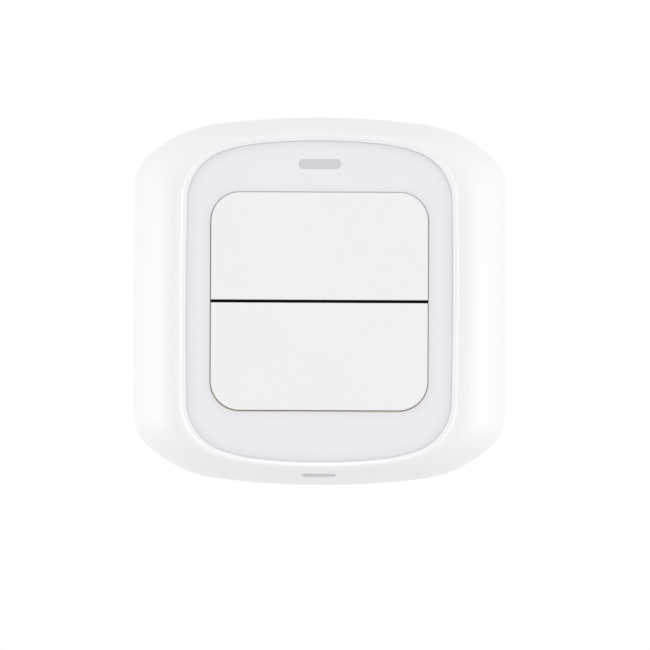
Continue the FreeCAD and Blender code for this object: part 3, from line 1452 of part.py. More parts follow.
def screw(name, x, z, seat, length, forward=True):
    # The head lies behind its seat and the shank runs forward, or the other way round
    body = newBody(name)
    if forward:
        rod(body, "shank", x, z, seat, "screwRadius", length)
        rod(body, "head", x, z, "%s - screwHeadHeight" % seat, "screwHeadRadius", "screwHeadHeight")
        face = recess = "%s - screwHeadHeight" % seat
    else:
        rod(body, "shank", x, z, "%s - (%s)" % (seat, length), "screwRadius", length)
        rod(body, "head", x, z, seat, "screwHeadRadius", "screwHeadHeight")
        face = "%s + screwHeadHeight" % seat
        recess = face + " - screwRecessDepth"
    faceDepth = value(face)
    soften(body, "Chamfer", "headEdge", "screwHeadEdge", lambda edge: atDepth(edge, faceDepth))
    # The driver's cross
    for number, (wide, tall) in enumerate((("screwRecessLong", "screwRecessWide"),
                                           ("screwRecessWide", "screwRecessLong"))):
        block(body, "cross%d" % number, "%s - %s / 2" % (x, wide), "%s - %s / 2" % (z, tall), recess,
              wide, tall, "screwRecessDepth", cut=True)
    return body


def buildScrews():
    def four(label, x, z, seat, length, forward=True):
        def one(side, level):
            name = "%s_%d_%d" % (label, side + 1, level + 1)
            return screw(name, signed(x, side), signed(z, level), seat, length, forward)
        return buildFour(label, one)

    groups = [
        four("cover_screws", "pillarX", "pillarZ", "headSeat", "coverScrewLength"),
        four("chassis_screws", "shellBossX", "shellBossZ", "chassisBack", "chassisScrewLength"),
        four("board_screws", "boardScrewX", "boardScrewZ", "boardFront", "boardScrewLength", forward=False)]
    clamps = []
    for turn in (1, -1):
        for side in (1, -1):
            x = "%s + %s" % (signed("pinionX", turn), signed("clampHoleX", side))
            z = signed("clampStart + clampWidth / 2", turn)
            clamps.append(screw("clamp_screw_%d_%d" % (turn + 1, side + 1), x, z,
                                "chassisBack - clampThickness", "clampScrewLength"))
    groups.append(group("clamp_screws", clamps))
    return groups


parts = [buildOuterShell(), buildFacePanel(), buildStatusLens(), buildMainBoard(), buildChassis(),
         buildRearCover(), buildBracket(), buildPads()]
parts += buildBoardParts()
for gang in ("upper", "lower"):
    for build in (buildKey, buildKeyPins, buildSwitch, buildPlunger, buildPinion, buildMotor, buildMotorShaft,
                  buildMotorClamp, buildArm, buildArmShaft):
        parts.append(build(gang))
    for side in (1, -1):
        parts.append(buildFoot(gang, side))
for side in (1, -1):
    parts.append(buildCell(side))
parts.append(buildDiscs("magnets", "magnetX", "magnetZ", "coverBack + magnetFloor", "magnetRadius",
                        "magnetThickness"))
parts.append(buildDiscs("strike_discs", "magnetX", "magnetZ", "bracketThickness - discThickness",
                        "discRadius", "discThickness"))
parts += buildScrews()

doc.recompute()
for item in doc.Objects:
    if "Invalid" in item.State or "Error" in item.State:
        raise RuntimeError("%s failed: %s" % (item.Name, item.State))
for part in parts:
    if part.Shape.isNull() or not part.Shape.isValid() or not part.Shape.Solids:
        raise RuntimeError("%s has no valid solid" % part.Label)

os.makedirs("parts", exist_ok=True)
for part in parts:
    part.Shape.exportStep("parts/%s.step" % part.Label)
    print("%-20s %d solid(s), %9.2f cubic mm" % (part.Label, len(part.Shape.Solids), part.Shape.Volume))
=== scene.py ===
import math
import bmesh
import bpy
from mathutils import Matrix, Vector


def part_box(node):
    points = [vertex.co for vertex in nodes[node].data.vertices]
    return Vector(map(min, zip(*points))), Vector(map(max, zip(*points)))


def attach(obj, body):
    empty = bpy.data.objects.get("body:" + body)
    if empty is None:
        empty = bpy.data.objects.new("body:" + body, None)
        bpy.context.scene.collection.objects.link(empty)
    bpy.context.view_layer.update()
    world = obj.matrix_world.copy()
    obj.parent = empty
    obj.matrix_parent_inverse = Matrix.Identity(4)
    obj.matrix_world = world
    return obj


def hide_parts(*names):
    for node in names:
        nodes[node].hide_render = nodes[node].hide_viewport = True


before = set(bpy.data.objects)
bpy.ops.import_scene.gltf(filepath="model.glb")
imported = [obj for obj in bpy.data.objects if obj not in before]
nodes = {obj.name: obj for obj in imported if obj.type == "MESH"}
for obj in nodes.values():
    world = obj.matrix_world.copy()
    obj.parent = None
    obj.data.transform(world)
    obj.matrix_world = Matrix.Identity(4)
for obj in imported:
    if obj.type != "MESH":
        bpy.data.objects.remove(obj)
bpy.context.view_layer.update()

scene = bpy.context.scene
scene.view_settings.view_transform = "Standard"
print("frame loaded:", len(nodes), "nodes")


def linear(code):
    # "#rrggbb" as the eye sees it, to the light values that the shader wants
    levels = [int(code[place:place + 2], 16) / 255 for place in (1, 3, 5)]
    return [v / 12.92 if v <= 0.04045 else ((v + 0.055) / 1.055) ** 2.4 for v in levels] + [1.0]


def addNode(tree, kind, links=None, **settings):
    # links: socket name or number -> a value, or the output it is fed from
    node = tree.nodes.new("ShaderNode" + kind)
    for name, setting in settings.items():
        setattr(node, name, setting)
    for socket, given in (links or {}).items():
        if isinstance(given, bpy.types.NodeSocket):
            tree.links.new(given, node.inputs[socket])
        else:
            node.inputs[socket].default_value = given
    return node


def newMaterial(name, colour, roughness, metallic=0.0, **more):
    material = bpy.data.materials.new(name)
    material.use_nodes = True
    shader = material.node_tree.nodes["Principled BSDF"]
    shader.inputs["Base Color"].default_value = linear(colour)
    shader.inputs["Roughness"].default_value = roughness
    shader.inputs["Metallic"].default_value = metallic
    for socket, amount in more.items():
        shader.inputs[socket.replace("_", " ")].default_value = amount
    return material, material.node_tree, shader


def giveDetail(tree, shader, colours, roughness=None, relief=None):
    # What varies over a surface, each with the pattern that drives it last: two colours, two roughnesses,
    # and a relief of so many millimetres. A Mix node's colours are sockets 6 and 7, and output 2
    one, other, pattern = colours
    mix = addNode(tree, "Mix", {0: pattern, 6: linear(one), 7: linear(other)}, data_type="RGBA")
    tree.links.new(mix.outputs[2], shader.inputs["Base Color"])
    if roughness:
        low, high, pattern = roughness
        spread = addNode(tree, "MapRange", {0: pattern, 3: low, 4: high})
        tree.links.new(spread.outputs[0], shader.inputs["Roughness"])
    if relief:
        depthMm, pattern = relief
        bump = addNode(tree, "Bump", {"Height": pattern, "Distance": depthMm / 1000, "Strength": 1.0})
        tree.links.new(bump.outputs[0], shader.inputs["Normal"])


def mouldedPlastic(name, colour, shade, roughness, grainMm, depthMm):
    # Injection-moulded: the tool's spark-eroded grain breaks up the gloss, and the melt leaves very
    # faint lighter and darker drifts a few centimetres long. The real grain is finer than the render
    # can show, so grainMm is as coarse as it needs to be
    material, tree, shader = newMaterial(name, colour, roughness, IOR=1.53)
    place = addNode(tree, "TexCoord").outputs["Object"]
    driftMm = 28
    grain = addNode(tree, "TexNoise", {"Vector": place, "Scale": 1000 / grainMm, "Detail": 3.0,
                                       "Roughness": 0.6}).outputs[0]
    drift = addNode(tree, "TexNoise", {"Vector": place, "Scale": 1000 / driftMm, "Detail": 1.0}).outputs[0]
    giveDetail(tree, shader, (colour, shade, drift), (roughness - 0.06, roughness + 0.06, grain),
               (depthMm, grain))
    return material


def spunMetal(name, colour, shade, roughness, lineMm, stretch, depthMm=0.003):
    # Ground or drawn metal: lines along one axis, as coarse as they need to be to show, with a little
    # tarnish in spots between them
    material, tree, shader = newMaterial(name, colour, roughness, 1.0)
    place = addNode(tree, "TexCoord").outputs["Object"]
    spotMm = 3
    along = addNode(tree, "Mapping", {"Vector": place, "Scale": stretch}).outputs[0]
    lines = addNode(tree, "TexNoise", {"Vector": along, "Scale": 1000 / lineMm, "Detail": 2.0}).outputs[0]
    tarnish = addNode(tree, "TexNoise", {"Vector": place, "Scale": 1000 / spotMm, "Detail": 2.0}).outputs[0]
    giveDetail(tree, shader, (colour, shade, tarnish), (roughness - 0.08, roughness + 0.1, lines),
               (depthMm, lines))
    return material


# White skins: satin on the keys, duller and coarser at the back, and a milky grey for the unlit lens
keyAbs = mouldedPlastic("satinKeyAbs", "#F1F1F3", "#EFEFF2", 0.40, 0.12, 0.0012)
lensPc = mouldedPlastic("diffuserLensPolycarbonate", "#CECDD3", "#CBCAD1", 0.36, 0.10, 0.001)
coverAbs = mouldedPlastic("texturedWhiteAbs", "#E6E6E8", "#E2E2E5", 0.55, 0.25, 0.008)
# Glass-filled nylon: dull and grey, as the fibres lie right under its skin
chassisNylon = mouldedPlastic("greyGlassFilledNylon", "#6A6C70", "#5F6165", 0.6, 0.3, 0.01)
armNylon = mouldedPlastic("darkGlassFilledNylon", "#46484D", "#3C3E43", 0.55, 0.3, 0.01)
clampNylon = mouldedPlastic("clampNylon", "#54565B", "#4B4D52", 0.55, 0.3, 0.01)
# Plain nylon has a smoother, black skin, and acetal a slick and waxy one
switchNylon = mouldedPlastic("blackSwitchNylon", "#1E1F21", "#26272A", 0.5, 0.2, 0.006)
plungerAcetal = mouldedPlastic("greyAcetal", "#5A5B5E", "#4F5053", 0.35, 0.2, 0.003)
# Ground or plated steel: bright, with fine lines along all but the screws, and zinc the bluest
pinSteel = spunMetal("groundSteel", "#C6C7CB", "#B4B5B9", 0.28, 0.05, (1, 1, 0.05))
motorSteel = spunMetal("nickelPlatedCan", "#C9CACD", "#B9BABD", 0.32, 0.08, (1, 1, 0.05))
portSteel = spunMetal("tinnedPortShell", "#D0D1D4", "#C0C1C5", 0.3, 0.06, (1, 1, 0.06))
canSteel = spunMetal("tinnedShieldCan", "#D4D5D8", "#C3C4C8", 0.38, 0.1, (0.1, 1, 1))
screwSteel = spunMetal("zincPlatedScrew", "#C4C8CE", "#B2B7BF", 0.33, 0.05, (1, 1, 1))
discSteel = spunMetal("zincPlatedDisc", "#C2C6CC", "#B0B5BC", 0.36, 0.07, (1, 1, 0.08))
# Thick nickel plate is warm and almost a mirror, and brass is yellow with the cutter's lines on it
magnetNickel = spunMetal("nickelPlatedMagnet", "#D3D0C9", "#C4C1BA", 0.18, 0.3, (1, 1, 1), 0.001)
pinionBrass = spunMetal("hobbedBrass", "#D9B76B", "#C9A558", 0.3, 0.06, (1, 1, 0.05))


def mouldedRubber():
    # Moulded silicone rubber: dull black with a chalky bloom and a coarse mould grain
    material, tree, shader = newMaterial("mouldedRubber", "#2A2B2D", 0.75)
    place = addNode(tree, "TexCoord").outputs["Object"]
    bloomMm, grainMm = 2.5, 0.2
    bloom = addNode(tree, "TexNoise", {"Vector": place, "Scale": 1000 / bloomMm, "Detail": 4.0}).outputs[0]
    grain = addNode(tree, "TexNoise", {"Vector": place, "Scale": 1000 / grainMm, "Detail": 2.0}).outputs[0]
    giveDetail(tree, shader, ("#232426", "#3A3B3D", bloom), (0.65, 0.85, bloom), (0.015, grain))
    return material


def foamTape():
    # Closed-cell foam under a paper-smooth adhesive face: small round cells show through
    material, tree, shader = newMaterial("closedCellFoamTape", "#D9D9DB", 0.8)
    place = addNode(tree, "TexCoord").outputs["Object"]
    cellMm = 0.6
    cells = addNode(tree, "TexVoronoi", {"Vector": place, "Scale": 1000 / cellMm}).outputs[0]
    giveDetail(tree, shader, ("#C4C4C7", "#E0E0E2", cells), relief=(0.04, cells))
    return material


def solderMask():
    # Dark green matt solder mask, with copper tracks that stand up a little and show lighter
    material, tree, shader = newMaterial("greenSolderMask", "#070A08", 0.85)
    place = addNode(tree, "TexCoord").outputs["Object"]
    turned = addNode(tree, "Mapping", {"Vector": place, "Rotation": (math.radians(90), 0, 0)}).outputs[0]
    unitMm, trackMm, lengthMm, rowMm = 4, 0.24, 6.4, 2.2
    tracks = addNode(tree, "TexBrick", {"Vector": turned, "Scale": 1000 / unitMm,
                                        "Mortar Size": trackMm / unitMm, "Brick Width": lengthMm / unitMm,
                                        "Row Height": rowMm / unitMm, "Color1": (0, 0, 0, 1),
                                        "Color2": (0, 0, 0, 1), "Mortar": (1, 1, 1, 1)}).outputs[0]
    giveDetail(tree, shader, ("#060907", "#12221A", tracks), relief=(0.03, tracks))
    return material


def chipEpoxy():
    # Moulded epoxy: near black, finely matt
    material, tree, shader = newMaterial("mouldedEpoxy", "#17181A", 0.5)
    place = addNode(tree, "TexCoord").outputs["Object"]
    grainMm = 0.08
    grain = addNode(tree, "TexNoise", {"Vector": place, "Scale": 1000 / grainMm, "Detail": 2.0}).outputs[0]
    giveDetail(tree, shader, ("#141517", "#222325", grain), relief=(0.004, grain))
    return material


def cellSleeve():
    # PVC shrink sleeve over a steel can: glossy blue that wrinkles slightly along the cell
    material, tree, shader = newMaterial("shrinkSleeve", "#2F6FB3", 0.3, Coat_Weight=0.4)
    place = addNode(tree, "TexCoord").outputs["Object"]
    along = addNode(tree, "Mapping", {"Vector": place, "Scale": (1, 1, 0.15)}).outputs[0]
    wrinkleMm = 3
    wrinkle = addNode(tree, "TexNoise", {"Vector": along, "Scale": 1000 / wrinkleMm,
                                         "Detail": 2.0}).outputs[0]
    giveDetail(tree, shader, ("#2A68AC", "#3878BC", wrinkle), relief=(0.05, wrinkle))
    return material


def ledPackage():
    # White LED body with a yellow phosphor pool, 1.2 mm across, in its cup
    material, tree, shader = newMaterial("ledPackage", "#EFEDE2", 0.35)
    place = addNode(tree, "TexCoord").outputs["Object"]
    low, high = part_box("status_led")
    centred = addNode(tree, "Mapping", {"Vector": place, "Location": -(low + high) / 2}).outputs[0]
    flat = addNode(tree, "VectorMath", {0: centred, 1: (1, 0, 1)}, operation="MULTIPLY").outputs[0]
    away = addNode(tree, "VectorMath", {0: flat}, operation="LENGTH").outputs["Value"]
    full, none = 0.5 / 1000, 0.7 / 1000
    pool = addNode(tree, "MapRange", {0: away, 1: full, 2: none, 3: 1.0, 4: 0.0}).outputs[0]
    giveDetail(tree, shader, ("#F1EFE8", "#EFC94A", pool))
    return material


def finishNode(name, material):
    for place in nodes[name].material_slots:
        place.material = material


epoxy, sleeve, rubber = chipEpoxy(), cellSleeve(), mouldedRubber()
finishes = {
    "status_lens": lensPc, "rear_cover": coverAbs, "wall_bracket": coverAbs, "chassis": chassisNylon,
    "main_board": solderMask(), "adhesive_pads": foamTape(), "status_led": ledPackage(),
    "radio_module": canSteel, "charging_port": portSteel, "magnets": magnetNickel, "strike_discs": discSteel,
    "cover_screws": screwSteel, "chassis_screws": screwSteel, "board_screws": screwSteel,
    "clamp_screws": screwSteel, "motor_driver_chip": epoxy, "charger_chip": epoxy,
    "right_battery_cell": sleeve, "left_battery_cell": sleeve}
for gang in ("upper", "lower"):
    for piece, finish in (("key", keyAbs), ("key_pins", pinSteel), ("switch", switchNylon),
                          ("plunger", plungerAcetal), ("pinion", pinionBrass), ("motor", motorSteel),
                          ("motor_shaft", pinSteel), ("motor_clamp", clampNylon), ("arm", armNylon),
                          ("arm_shaft", pinSteel), ("right_foot", rubber), ("left_foot", rubber)):
        finishes["%s_%s" % (gang, piece)] = finish
for name, finish in finishes.items():
    finishNode(name, finish)
print("materials on", len(finishes), "nodes")


# Outlines in millimetres: half width, half height, crown, shoulder and corner radii, and the turns in
# degrees at which the corner takes over from the shoulder, and the side's shallow arc from the corner.
# "steps" is how many points each of the four arcs of a quarter has
outlines = {
    "housing": (44.1, 43.5, 190.5, 29.4, 10.3, 43.1, 89.4),
    "seam": (31.2, 37.6, 135.1, 34.3, 12.2, 20.1, 88.9),
    "steps": (16, 14, 16, 10),
}


def between(share, inset=0.0):
    # share 0 is the housing's outline, 1 is the seam's, and inset makes it smaller all round
    mixed = [a + (b - a) * share for a, b in zip(outlines["housing"], outlines["seam"])]
    return [size - inset for size in mixed[:5]] + mixed[5:]


def ringAt(sizes, depth):
    # Points round an outline from the middle of the top, at a depth from the wall in millimetres
    halfWidth, halfHeight, crown, shoulder, corner = sizes[:5]
    turn, side = (math.radians(angle) for angle in sizes[5:])
    # the turn at which the crown ends, so that the chain of arcs meets the side's arc
    slope = math.tan((math.pi / 2 - side) / 2)
    wide = halfWidth - (shoulder - corner) * math.sin(turn) - corner * math.sin(side)
    tall = halfHeight - crown + (shoulder - corner) * math.cos(turn) + corner * math.cos(side)
    reach = (wide - slope * tall) / ((crown - shoulder) * math.hypot(1, slope))
    first = math.asin(reach) - math.atan(slope)
    x, z, start, quarter = 0.0, halfHeight - crown, 0.0, []
    for radius, after, end, count in zip((crown, shoulder, corner, 0), (shoulder, corner, 0, 0),
                                         (first, turn, side, math.pi / 2), outlines["steps"]):
        if not radius:
            # the side's own arc has its centre level with the middle
            radius = z / math.cos(side)
            x, z, after = halfWidth - radius, 0.0, 0.0
        for step in range(count):
            angle = start + (end - start) * step / count
            quarter.append((x + radius * math.sin(angle), z + radius * math.cos(angle)))
        x, z = x + (radius - after) * math.sin(end), z + (radius - after) * math.cos(end)
        start = end
    right = quarter + [(halfWidth, 0.0)] + [(x, -z) for x, z in reversed(quarter[1:])]
    left = [(-x, -z) for x, z in right]
    return [Vector((x, -depth, z)) / 1000 for x, z in right + left]


def drape(bm, edges, before, after):
    # Extrude the open ring, and set its points, which are found by their places, on the next ring
    where = {point.to_tuple(6): number for number, point in enumerate(before)}
    made = bmesh.ops.extrude_edge_only(bm, edges=edges)["geom"]
    for vert in [part for part in made if isinstance(part, bmesh.types.BMVert)]:
        vert.co = after[where[vert.co.to_tuple(6)]]
    return [part for part in made if isinstance(part, bmesh.types.BMEdge)]


def skinThrough(rings):
    # An open skin through the rings, and the edges of its first and last ring
    bm = bmesh.new()
    bmesh.ops.create_circle(bm, cap_ends=False, radius=1.0, segments=len(rings[0]))
    for vert, point in zip(list(bm.verts), rings[0]):
        vert.co = point
    lastEdges = firstEdges = list(bm.edges)
    for before, after in zip(rings, rings[1:]):
        lastEdges = drape(bm, lastEdges, before, after)
    return bm, firstEdges, lastEdges


def asObject(bm, name):
    mesh = bpy.data.meshes.new(name)
    bm.to_mesh(mesh)
    bm.free()
    made = bpy.data.objects.new(name, mesh)
    scene.collection.objects.link(made)
    return made


def shape(piece, cutters, operation="DIFFERENCE"):
    # Cut the cutters out of the piece, or join them to it
    for cutter in cutters:
        modifier = piece.modifiers.new("shape", "BOOLEAN")
        modifier.operation = operation
        modifier.solver = "MANIFOLD"
        modifier.object = cutter
    depsgraph = bpy.context.evaluated_depsgraph_get()
    shaped = bpy.data.meshes.new_from_object(piece.evaluated_get(depsgraph))
    piece.modifiers.clear()
    piece.data = shaped
    for cutter in cutters:
        bpy.data.objects.remove(cutter)


def dress(piece, body, material, sharp=32):
    # Smooth shading but for edges sharper than so many degrees, the finish, and what it rides on
    bm = bmesh.new()
    bm.from_mesh(piece.data)
    for face in bm.faces:
        face.smooth = True
    for edge in bm.edges:
        edge.smooth = edge.calc_face_angle(0) < math.radians(sharp)
    bm.to_mesh(piece.data)
    bm.free()
    piece.data.materials.clear()
    piece.data.materials.append(material)
    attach(piece, body)


def fadeFrom(mesh, name, outline, near, far, front):
    # A point attribute: 1 up to "near" millimetres from an outline and 0 from "far" on, for the points
    # whose depth is past "front"
    line = [Vector((point.x, point.z)) * 1000 for point in ringAt(outline, 0)]
    fade = mesh.attributes.new(name, "FLOAT", "POINT")
    for vert, level in zip(mesh.vertices, fade.data):
        if vert.co.y < -front / 1000:
            spot = Vector((vert.co.x, vert.co.z)) * 1000
            away = min((spot - point).length for point in line)
            level.value = min(max((far - away) / (far - near), 0), 1)


def block(name, x, depth, z, corner=0.0, axis=2, segments=8):
    # A box between pairs of millimetres, with the edges along one axis rounded
    low = Vector((x[0], -depth[1], z[0])) / 1000
    high = Vector((x[1], -depth[0], z[1])) / 1000
    bm = bmesh.new()
    bmesh.ops.create_cube(bm, size=1)
    bmesh.ops.scale(bm, vec=high - low, verts=bm.verts)
    bmesh.ops.translate(bm, vec=(low + high) / 2, verts=bm.verts)
    if corner:
        along = [e for e in bm.edges if abs(e.verts[0].co[axis] - e.verts[1].co[axis]) > 1e-5]
        bmesh.ops.bevel(bm, geom=along, offset=corner / 1000, offset_type="OFFSET", segments=segments,
                        profile=0.5, affect="EDGES", material=-1)
    return asObject(bm, name)


def rod(name, x, z, depth, radius, segments=40):
    # A round post along the depth, in millimetres
    bm = bmesh.new()
    bmesh.ops.create_cone(bm, cap_ends=True, radius1=radius / 1000, radius2=radius / 1000,
                          depth=(depth[1] - depth[0]) / 1000, segments=segments)
    bmesh.ops.rotate(bm, cent=(0, 0, 0), matrix=Matrix.Rotation(math.radians(90), 3, "X"), verts=bm.verts)
    bmesh.ops.translate(bm, vec=Vector((x, -sum(depth) / 2, z)) / 1000, verts=bm.verts)
    return asObject(bm, name)


# The housing's sizes in millimetres. A depth counts from the wall, and a pair is from and to
shell = {
    "back": 3.1, "backEdge": 0.25, "domeStart": 13.0, "crest": 34.007, "crestShare": 0.8, "wall": 2.2,
    "sideRings": (0.5, 0.8),   # shares of the way to the dome's start
    "roundness": 1.62,   # 2 gives the dome an ellipse's profile, and less a straighter one
    "domeStep": 5, "insideStep": 15,   # degrees from ring to ring
    # share of the way to the seam, and the drop from the crest: a soft step, then a land round the seam
    "rim": ((0.83, 0.003), (0.86, 0.012), (0.88, 0.022), (0.888, 0.03), (0.895, 0.045), (0.912, 0.1),
            (0.929, 0.155), (0.936, 0.17), (0.948, 0.18), (0.966, 0.19), (0.985, 0.2), (0.995, 0.22),
            (1.0, 0.29)),
    "seat": 31.557, "ledge": 1.6, "ledgeBack": 30.057, "ring": 1.5,
    "bossX": 35.8, "bossZ": 15.5, "bossRadius": 2.7, "bossDepth": (25.607, 29.9),
    "pilotRadius": 0.95, "pilotDepth": (24.607, 28.7),
    "slotWidth": 8.0, "slotDepth": (29.0, 31.55), "slotZ": (-46, -38.2), "slotCorner": 0.9,
    "notchDepth": (29.0, 31.557), "notchZ": (-39.7, -34.1),
    # the painted highlight along the step: its outline's share, and how it fades across, in depth and
    # upwards
    "highlightShare": 0.91, "highlightWidth": (0.2, 0.34), "highlightFront": 33.4, "highlightTop": (32.5, 37.5),
}


def highlightPaintedHousing():
    # Satin ABS, smoother along the small step that runs round the housing's front, where a painted highlight
    # lifts its colour towards white
    material = mouldedPlastic("highlightPaintedEdgeAbs", "#F3F2F5", "#F1F0F3", 0.42, 0.12, 0.0015)
    tree = material.node_tree
    shader = tree.nodes["Principled BSDF"]
    # the painted highlight's mask: near white colour and a lower roughness are mixed in along the step
    paintedHighlightMask = addNode(tree, "Attribute", attribute_name="paintedHighlight").outputs["Fac"]
    for socket, kind, plainIn, mixOut, paintedHighlightAndGloss in (("Base Color", "RGBA", 6, 2, linear("#FEFEFE")),
                                                  ("Roughness", "FLOAT", 2, 0, 0.28)):
        plain = shader.inputs[socket].links[0].from_socket
        mix = addNode(tree, "Mix", {0: paintedHighlightMask, plainIn: plain, plainIn + 1: paintedHighlightAndGloss}, data_type=kind)
        tree.links.new(mix.outputs[mixOut], shader.inputs[socket])
    return material


def domeRings():
    # From the back rim over the dome, the step and the land into the seat, and back along the inside
    start, rise = shell["domeStart"], shell["crest"] - shell["domeStart"]
    rings = [ringAt(between(0, shell["backEdge"]), shell["back"]),
             ringAt(between(0), shell["back"] + shell["backEdge"])]
    rings += [ringAt(between(0), start * share) for share in shell["sideRings"]]
    for degrees in range(0, 91, shell["domeStep"]):
        turn, power = math.radians(degrees), 2 / shell["roundness"]
        share = shell["crestShare"] * (1 - max(math.cos(turn), 0) ** power)
        rings.append(ringAt(between(share), start + rise * math.sin(turn) ** power))
    rings += [ringAt(between(share), shell["crest"] - drop) for share, drop in shell["rim"]]
    rings += [ringAt(between(1), shell["seat"]), ringAt(between(1, shell["ledge"]), shell["seat"]),
              ringAt(between(1, shell["ledge"]), shell["ledgeBack"]),
              ringAt(between(1, -shell["ring"]), shell["ledgeBack"])]
    for degrees in range(90 - shell["insideStep"], -1, -shell["insideStep"]):
        turn = math.radians(degrees)
        share = shell["crestShare"] * (1 - math.cos(turn))
        rings.append(ringAt(between(share, shell["wall"]), start + (rise - shell["wall"]) * math.sin(turn)))
    rings.append(ringAt(between(0, shell["wall"]), shell["back"]))
    return rings


def buildShell():
    bm, firstEdges, lastEdges = skinThrough(domeRings())
    bmesh.ops.bridge_loops(bm, edges=lastEdges + firstEdges)
    bmesh.ops.recalc_face_normals(bm, faces=bm.faces)
    piece = asObject(bm, "housingShell")
    # four bosses for the chassis screws, each with its pilot hole
    spots = [(x * shell["bossX"], z * shell["bossZ"]) for x in (1, -1) for z in (1, -1)]
    shape(piece, [rod("boss", x, z, shell["bossDepth"], shell["bossRadius"]) for x, z in spots], "UNION")
    holes = [rod("pilot", x, z, shell["pilotDepth"], shell["pilotRadius"], 24) for x, z in spots]
    # the plug's opening, and behind it the notch that the port stands in
    wide = (-shell["slotWidth"] / 2, shell["slotWidth"] / 2)
    slotCut = block("slotCut", wide, shell["slotDepth"], shell["slotZ"], shell["slotCorner"])
    notchCut = block("notchCut", wide, shell["notchDepth"], shell["notchZ"])
    shape(piece, holes + [slotCut, notchCut])
    # the painted highlight along the step, as a point mask that fades out towards the top
    fadeFrom(piece.data, "paintedHighlight", between(shell["highlightShare"]), *shell["highlightWidth"], shell["highlightFront"])
    full, none = shell["highlightTop"]
    for vert, level in zip(piece.data.vertices, piece.data.attributes["paintedHighlight"].data):
        level.value *= min(max((none - vert.co.z * 1000) / (none - full), 0), 1)
    finish = highlightPaintedHousing()
    finishNode("outer_shell", finish)
    dress(piece, "robot", finish)
    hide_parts("outer_shell")
    return piece


housingShell = buildShell()
print("housing shell:", len(housingShell.data.polygons), "faces")


# The front panel's sizes in millimetres. A depth counts from the wall, and a pair is from and to
panel = {
    "gap": 0.008, "back": 31.557, "front": 33.057,
    # how far inside the seam, and the drop below the flat front: the softened edge
    "edge": ((0.0, 0.1), (0.03, 0.05), (0.08, 0.018), (0.16, 0.0), (0.6, 0.0), (1.1, 0.0), (1.7, 0.0),
             (2.6, 0.0)),
    "windowX": (-25.53, 25.5), "windowZ": (-25.66, 25.56), "windowCorner": 6.9, "windowEdge": 0.18,
    "cutDepth": (25, 36), "lensX": (-4.97, 4.97), "lensZ": (30.98, 33.22),
    "skirtWall": 1.1, "skirtDepth": (29.657, 31.857),
    # four hooks, one in each quarter, each a stem with a catch at its back
    "hookZ": (10.0, 16.0), "stemX": (28.4, 29.4), "stemDepth": (28.757, 31.6),
    "catchX": (28.4, 30.1), "catchDepth": (28.757, 29.757),
    # how far the painted shade on the panel reaches: from the seam, and from the window
    "seamPaintedShade": (0.5, 2.6), "seamPaintedShadeFront": 33.0, "windowPaintedShade": 2.0,
    # painted shade on the window's walls, warm and dark, fades out so far inside the chamfer's edge, and the
    # painted shade round the window lies so much lower than the window, which shows more of it along the
    # bottom
    "wallShadeBlend": 0.08, "paintedShadeDrop": 0.1,
}


def frostedPanel():
    # Polycarbonate with a frosted face: cooler and a shade darker than the ABS round it. Painted shade makes
    # it greyer towards its edges, next to the seam and the window
    material = mouldedPlastic("frostedPanelPolycarbonate", "#ECEBF0", "#EAE9EE", 0.36, 0.10, 0.001)
    tree = material.node_tree
    shader = tree.nodes["Principled BSDF"]
    plain = shader.inputs["Base Color"].links[0].from_socket
    seam = addNode(tree, "Attribute", attribute_name="paintedEdgeShade").outputs["Fac"]
    # distance out from the middles of the window's corner arcs, in metres
    (left, right), (low, high), corner = panel["windowX"], panel["windowZ"], panel["windowCorner"]
    middle = Vector((left + right, 0, low + high - 2 * panel["paintedShadeDrop"])) / 2000
    arcs = Vector((right - left - 2 * corner, 0, high - low - 2 * corner)) / 2000
    place = addNode(tree, "TexCoord").outputs["Object"]
    centred = addNode(tree, "Mapping", {"Vector": place, "Location": -middle}).outputs[0]
    flat = addNode(tree, "VectorMath", {0: centred, 1: (1, 0, 1)}, operation="MULTIPLY").outputs[0]
    folded = addNode(tree, "VectorMath", {0: flat}, operation="ABSOLUTE").outputs[0]
    past = addNode(tree, "VectorMath", {0: folded, 1: arcs}, operation="SUBTRACT").outputs[0]
    past = addNode(tree, "VectorMath", {0: past, 1: (0, 0, 0)}, operation="MAXIMUM").outputs[0]
    away = addNode(tree, "VectorMath", {0: past}, operation="LENGTH").outputs["Value"]
    edge = (corner + panel["windowEdge"]) / 1000
    window = addNode(tree, "MapRange", {0: away, 1: edge, 2: edge + panel["windowPaintedShade"] / 1000, 3: 1.0,
                                        4: 0.0}).outputs[0]
    # painted shade, greyest right at the seam and at the window's edge
    paintedShadeMask = addNode(tree, "Math", {0: seam, 1: window}, operation="MAXIMUM").outputs[0]
    soft = addNode(tree, "Math", {0: paintedShadeMask, 1: 1.5}, operation="POWER").outputs[0]
    mix = addNode(tree, "Mix", {0: soft, 6: plain, 7: linear("#E4E3E8")}, data_type="RGBA")
    # painted shade: the window's walls and small chamfer are tinted warmer and darker, the colour of light
    # that has come through the panel
    wall = addNode(tree, "MapRange", {0: away, 1: edge - panel["wallShadeBlend"] / 1000, 2: edge, 3: 1.0,
                                      4: 0.0}).outputs[0]
    paintedWallShade = addNode(tree, "Mix", {0: wall, 6: mix.outputs[2], 7: linear("#DACBC1")}, data_type="RGBA")
    tree.links.new(paintedWallShade.outputs[2], shader.inputs["Base Color"])
    return material


